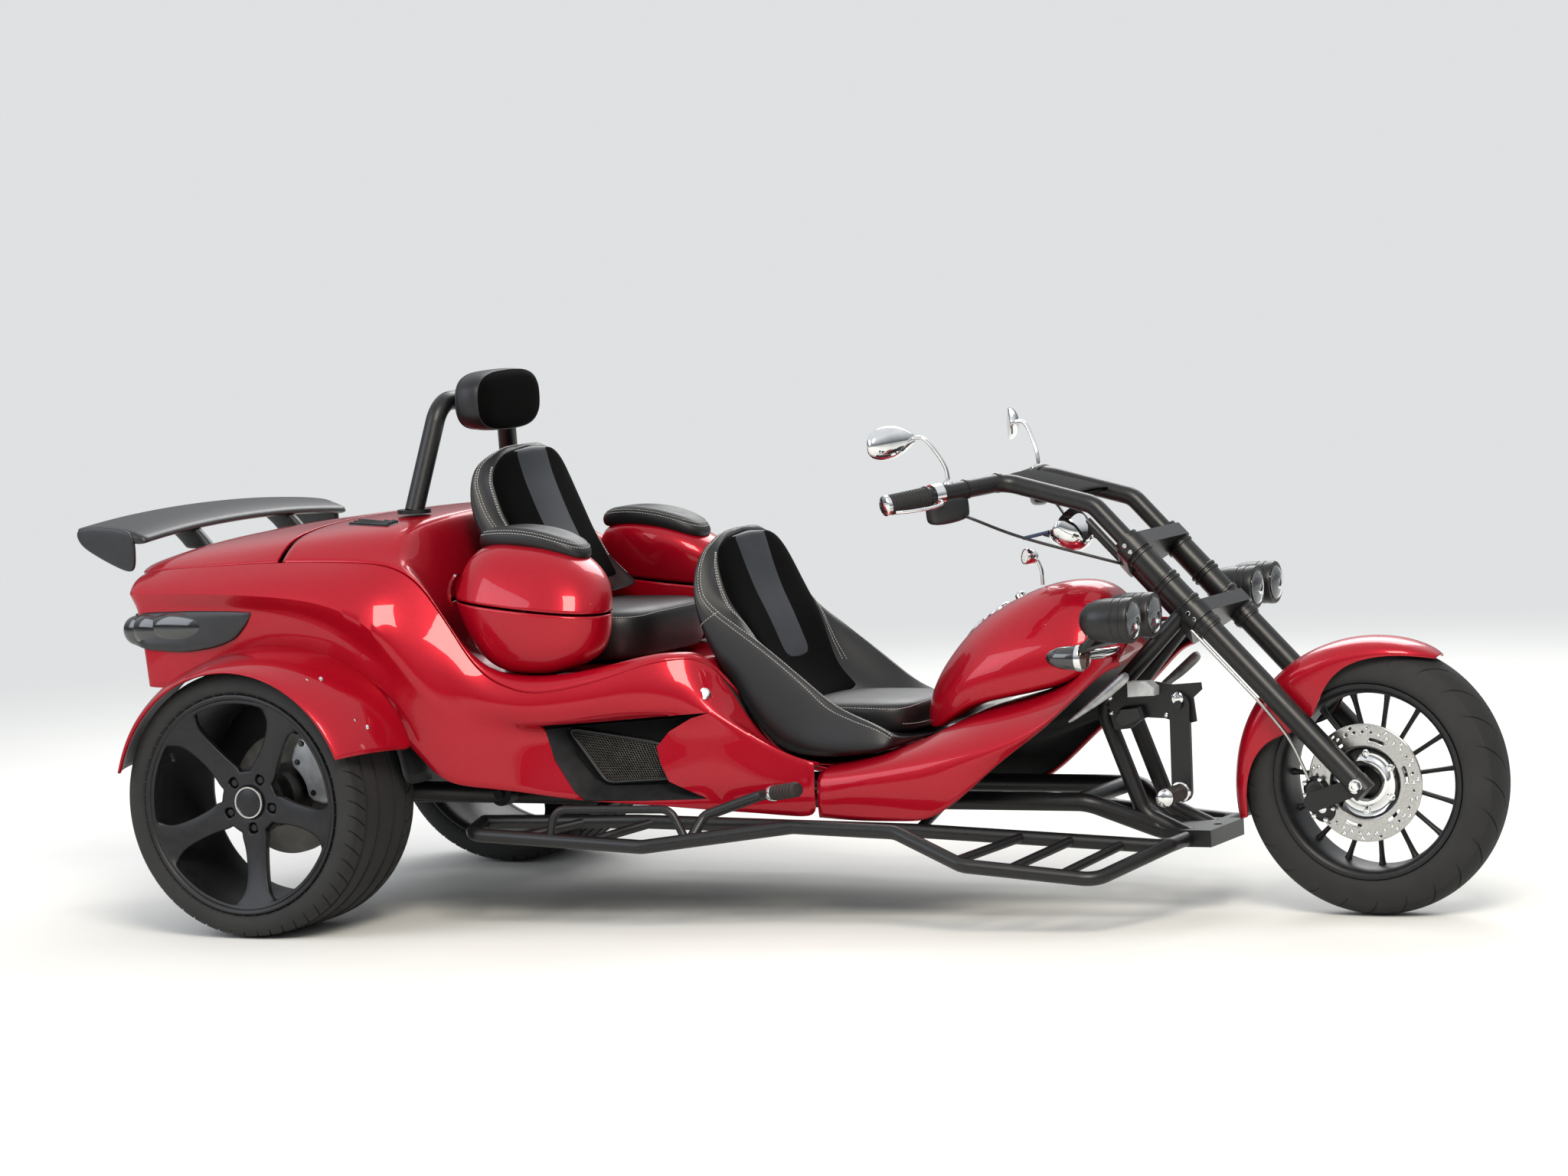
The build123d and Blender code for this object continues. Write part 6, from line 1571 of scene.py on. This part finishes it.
# fork: ring collars on both legs, axle bolts and clamp bolts
sets, chrome = [], []
for side in (-125, 125):
    for down, wide, radius in ((57, 8, 34.5), (138, 7, 35), (150, 7, 35), (214, 8, 34.5), (288, 14, 33.5)):
        sets.append(turned(((-wide / 2, 30.5), (-wide / 2, radius - 1.5), (-wide / 2 + 1.5, radius),
            (wide / 2 - 1.5, radius), (wide / 2, radius - 1.5), (wide / 2, 26.5)), fork(down, 0, side),
            forkDown, 40))
    sets.append(turned(((-26, 27.4), (-24, 29.5), (10, 29.5), (12, 27.4)), fork(812, 0, side), forkDown, 40))
    outward = Vector((0, copysign(1, side), 0))
    chrome.append(turned(((0, 13), (9, 13), (11, 11), (11, 7), (7, 6.5), (7, 0.5)),
        fork(800, 0, side + copysign(27, side)), outward, 6))
    chrome.append(turned(((-4, 17), (0, 17), (2, 15), (2, 12)), fork(800, 0, side + copysign(27, side)),
        outward, 28))
    for down in (20, 40, 240, 260):
        chrome.append(turned(((0, 6), (5, 6), (6.5, 4.5), (6.5, 0.5)),
            fork(down, 0, side + copysign(37, side)), outward, 6))
addHard("fork_collars", sets, "steering", *blackCoat, sharp=35)
addHard("fork_bolts", chrome, "steering", *brightChrome, sharp=30)


def ribbed(count, bore, radius, length):  # profile of a rubber sleeve with rings 12 mm apart
    rings = ((3, radius + 1.5), (9, radius + 1.5), (10.5, radius), (12, radius))
    profile = [(0, bore), (0, radius)] + [(12 * k + along, r) for k in range(count) for along, r in rings]
    return profile + [(length, radius - 2), (length + 1, 0.5)]


# pegs and pedal: ribbed rubber sleeves with chrome collars
for hand, side in hands:
    foot, tip = spot(1296, side * 484, 332.5), spot(1374, side * 521, 346.5)
    way = (tip - foot).normalized()
    addHard("peg_sleeve_" + hand, [turned(ribbed(7, 11, 17, 90), foot, way, 24)], "chassis", "grip_rubber",
        pegRubber)
    addHard("peg_collar_" + hand,
        [turned(((-14, 13), (-13, 19), (-4, 20), (0, 19), (1, 12)), foot, way, 24)], "chassis",
        *brightChrome)
addHard("pedal_sleeve", [turned(ribbed(9, 12, 19, 113), spot(2188, -134, 300), toRight, 24)], "chassis",
    "grip_rubber", pegRubber)
print("details ready")

# handlebar: matt cover on its plate, ring collars at the knees
coverLook = {"rear": (1752, 1047), "front": (1936, 1003), "half": 116.0, "crown": 6.0}
verts = []
for r in range(7):
    for c in range(9):
        share = c / 4 - 1
        s = coverLook["rear"][0] + (coverLook["front"][0] - coverLook["rear"][0]) * r / 6
        z = coverLook["rear"][1] + (coverLook["front"][1] - coverLook["rear"][1]) * r / 6
        verts.append(spot(s, coverLook["half"] * share, z + coverLook["crown"] * (1 - share**2)
            - (3 if r in (0, 6) else 0)))
addPiece("handlebar_cover", verts, gridFaces(7, 9), "steering", "black_powder_coat", mattSheetAndPaintedShade, (), 1, 2.5,
    None, True)
sets = []
for side in (-1, 1):
    knee, grip = spot(1763, side * 125, 1034), spot(1653, side * 330, 1015)
    for share in (0.08, 0.5):
        sets.append(turned(((-5, 20), (-4, 24), (4, 24), (5, 20)), knee.lerp(grip, share), grip - knee, 28))
addHard("handlebar_collars", sets, "steering", *blackCoat)

# screen beside the dial, gauge and lock on the tank, trim on its ridge
screenLook = {"rear": (1766, 891), "front": (1832, 905), "half": 34.0, "thick": 4.5}
rings = []
for share, grow in ((-0.02, 0.9), (0.0, 1.0), (1.0, 1.0), (1.02, 0.9)):
    s = screenLook["rear"][0] + (screenLook["front"][0] - screenLook["rear"][0]) * share
    z = screenLook["rear"][1] + (screenLook["front"][1] - screenLook["rear"][1]) * share
    wide, thick = screenLook["half"] * grow, screenLook["thick"] * grow
    rings.append([spot(s, y * wide, z + up * thick) for y, up in ((-1, 0.5), (-0.92, 1), (0.92, 1), (1, 0.5),
        (1, -0.5), (0.92, -1), (-0.92, -1), (-1, -0.5))])
# the screen's blue tint is a painted reflection
addHard("screen", [loftSet(rings)], "steering", "satin_black_plastic", screenGlassPaintedGlint, sharp=30)
addHard("screen_arm", [tubeSet([spot(1808, 0, 899), spot(1832, 0, 893), spot(1862, 0, 890)], 6, 12),
    turned(((-9, 0.5), (-7, 6), (0, 9), (7, 6), (9, 0.5)), spot(1832, 0, 893), forward, 16)], "steering",
    *blackPlastic)
gauge, gaugeAxis = spot(1772, -4, 844), Vector((-0.62, -0.76, 0.16))
gaugeProfile = ((-16, 0.5), (-15, 11), (-6, 18), (8, 19.5), (13, 20.5), (16, 19), (16, 17))
gaugeStem = softLine([spot(1786, 2, 836), spot(1795, 4, 812), spot(1797, 4, 776)], 5)
lockProfile = ((-10, 14), (6, 14), (10, 11), (13, 4), (13.5, 0.5))
sets = [turned(gaugeProfile, gauge, gaugeAxis, 32), tubeSet(gaugeStem, 4.5, 12),
        turned(lockProfile, spot(1741, 0, 748), Vector((-0.5, 0, 0.86)), 28)]
rings = []
for s, z, half, tall in ((1598, 648, 6, 3), (1602, 653, 15, 8), (1614, 663, 21, 11), (1630, 677, 22, 12),
        (1642, 688, 16, 9), (1647, 692, 6, 3)):
    rings.append([spot(s, half * cos(pi * k / 8), z + tall * sin(pi * k / 8)) for k in range(16)])
addHard("tank_fittings", [*sets, loftSet(rings)], "chassis", *brightChrome)
addHard("gauge_face", [turned(((13, 18), (14.5, 17.5), (15, 10), (15.2, 0.5)), gauge, gaugeAxis, 32)],
    "chassis", "plate_enamel", plateEnamel)

# deck vents behind the pods, fender rivets, side locks and pod latches
ventLook = {"low": ((86, 376), (150, 396), (232, 400)), "high": ((68, 204), (150, 282), (243, 354)),
    "rows": 6}
for hand, side in hands:
    low, high = (softLine([spot(s, side * y, 975) for s, y in ventLook[key]], 5) for key in ("low", "high"))
    points, lifts = [], []
    for k, (a, b) in enumerate(zip(low, high)):
        for c in range(ventLook["rows"] + 1):
            points.append(a.lerp(b, c / ventLook["rows"]))
            lifts.append(-1.0 if k in (0, len(low) - 1) or c in (0, ventLook["rows"]) else 2.2)
    verts = onSkin(deckSkin, points, lifts)
    addPiece("deck_vent_" + hand, verts, gridFaces(len(low), ventLook["rows"] + 1), "chassis", *blackPlastic,
        (), 1)
    sets = []
    for c in range(1, ventLook["rows"]):
        sets.append(tubeSet([verts[k * (ventLook["rows"] + 1) + c] for k in range(1, len(low) - 1)], 3.2, 8))
    addHard("deck_vent_bars_" + hand, sets, "chassis", "satin_black_plastic", powderCoat)
    sets = []
    fender = bpy.data.objects["rear_fender_skin_" + hand]
    for place in onSkin(fender,
            [spot(s, side * 740, z) for s, z in ((307, 527), (390, 542), (237, 662), (166, 579))], 0.0):
        sets.append(turned(((-6, 0.5), (-5, 5.5), (0, 7), (4, 5.5), (6, 0.5)), place, Vector((0, side, 0.3)),
            16))
    lock = onSkin(sideShells, [spot(1085, side * 392, 562)], 0.0)[0]
    sets.append(turned(((-5, 13), (3, 15), (6, 14), (7, 10), (5, 9), (5, 0.5)), lock,
        Vector((0, side, 0.25)), 28))
    latch = [(430, 852), (416, 834), (409, 812), (410, 790), (418, 774)]
    sets.append(loftSet([[spot(s + a, side * (418 + b), z) for a, b in ((-5, -11), (-7, 0), (-5, 11),
        (4, 12), (4, -12))] for s, z in latch]))
    addHard("body_fittings_" + hand, sets, "chassis", *brightChrome)

# engine: block with ribs all round, muffler with bands
engineOutline = ((-212, 300), (0, 298), (262, 300), (268, 308), (268, 430), (266, 556), (258, 570),
    (156, 636), (140, 640), (-40, 640), (-212, 638), (-218, 628), (-218, 470), (-218, 310))
rings = []
for k in range(20):
    centre = -190 + 20 * k
    for offset, grow in ((-8, 0.93), (-6, 1.0), (2, 1.0), (4, 0.93)):
        rings.append([spot(25 + (s - 25) * grow, max(-199, min(199, centre + offset)),
            470 + (z - 470) * grow) for s, z in engineOutline])
addHard("engine_ribs", [loftSet(rings)], "chassis", "cast_aluminium", castAluminium, ("engine",), sharp=35)
sets = []
for y in (-190, 0, 190):
    sets.append(turned(((-9, 71.5), (-8, 75), (8, 75), (9, 71.5)), spot(-320, y, 440), toLeft, 48))
addHard("muffler_bands", sets, "chassis", "exhaust_steel", chromePlate)
low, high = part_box("number_plate")
corners = [Vector((low[0] - 0.001, y, z)) for y, z in ((low[1], low[2]), (high[1], low[2]),
    (high[1], high[2]), (low[1], high[2]))]
sets = [tubeSet(loopPoints(corners, 8), 4.5, 8, True)]
for y in (low[1] * 0.6 + high[1] * 0.4, low[1] * 0.4 + high[1] * 0.6):
    sets.append(turned(((0, 6), (2, 6), (4, 4), (5, 0.5)), Vector((low[0], y, high[2] - 0.016)),
        Vector((-1, 0, 0)), 12))
addHard("plate_frame", sets, "chassis", *blackPlastic)

# rear calipers: bright covers on their outer sides, with dark bolts
# radius, angle
coverArc = ([(168, turn) for turn in (-10, 6, 22, 38, 54, 68)]
    + [(84, turn) for turn in (68, 48, 28, 8, -10)])
coverRings = ((590.5, 0.97), (592, 1.0), (603, 1.0), (607, 0.95), (609, 0.86))  # side, size
for hand, side in hands:
    rings = []
    for y, grow in coverRings:
        ring = []
        for radius, turn in coverArc:
            angle = radians(29 + (turn - 29) * grow)
            reach = 126 + (radius - 126) * grow
            ring.append(spot(reach * cos(angle), side * y, rearUp + reach * sin(angle)))
        rings.append(ring)
    addPiece("rear_caliper_cover_" + hand, *loftSet(rings), "chassis", "cast_aluminium", machinedAluminium,
        (), 1)
    sets = []
    for radius, turn in ((148, -2), (148, 60), (102, 4), (102, 54)):
        angle = radians(turn)
        place = spot(radius * cos(angle), side * 607, rearUp + radius * sin(angle))
        sets.append(turned(((-4, 8), (4, 8), (6, 6), (6.5, 0.5)), place, Vector((0, side, 0)), 6))
    addHard("rear_caliper_bolts_" + hand, sets, "chassis", "cast_aluminium", wornSteel, sharp=30)

# pedal bracket: black plate with a pale reservoir, a cover and bolts; chrome ends on the pedal
# slot and finish, outline (ahead, height), middle of it, (side, size) of the rings
bracketParts = {"pedal_bracket": (blackCoat, ((2004, 539), (2047, 549), (2123, 558), (2171, 551),
    (2240, 556), (2242, 539), (2220, 520), (2226, 464), (2198, 457), (2147, 471), (2096, 473), (2063, 447),
    (2019, 442), (2010, 476)), (2120, 505), ((-116.5, 0.985), (-118, 1.0), (-125, 1.0), (-126.5, 0.985))),
    "brake_reservoir": (("cast_aluminium", machinedAluminium), ((2069, 560), (2120, 562), (2137, 548),
    (2136, 528), (2069, 524)), (2104, 543), ((-126, 1.0), (-160, 1.0), (-165, 0.9))),
    "bracket_cover": (blackPlastic, ((2026, 474), (2045, 498), (2097, 503), (2106, 474), (2076, 462),
    (2046, 450)), (2066, 477), ((-126, 1.0), (-146, 0.97), (-154, 0.8)))}
for name, (finish, outline, middle, levels) in bracketParts.items():
    rings = [[spot(middle[0] + (s - middle[0]) * grow, y, middle[1] + (z - middle[1]) * grow)
        for s, z in outline] for y, grow in levels]
    addHard(name, [loftSet(rings)], "chassis", *finish, sharp=25)
sets = [turned(((-8, 15), (3, 15), (5, 12), (5, 7), (8, 7), (9, 5), (9, 0.5)), spot(2187, -140, 520),
    toRight, 24)]
for s, z in ((2152, 479), (2170, 479), (2012, 519), (2014, 484)):
    sets.append(turned(((-2, 6), (3, 6), (5, 4), (5.5, 0.5)), spot(s, -126.5, z), toRight, 12))
sets.append(turned(((-6, 12), (-4, 20), (4, 22), (10, 18), (13, 9), (13.5, 0.5)), spot(2188, -248, 300),
    toRight, 28))
sets.append(turned(((-2, 20), (0, 24), (9, 24), (11, 20)), spot(2188, -142, 300), toRight, 28))
addHard("pedal_chrome", sets, "chassis", *brightChrome)
print("fittings ready")

size = {"cad": [list(c) for c in cadBox], "visual": [list(c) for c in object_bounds()]}
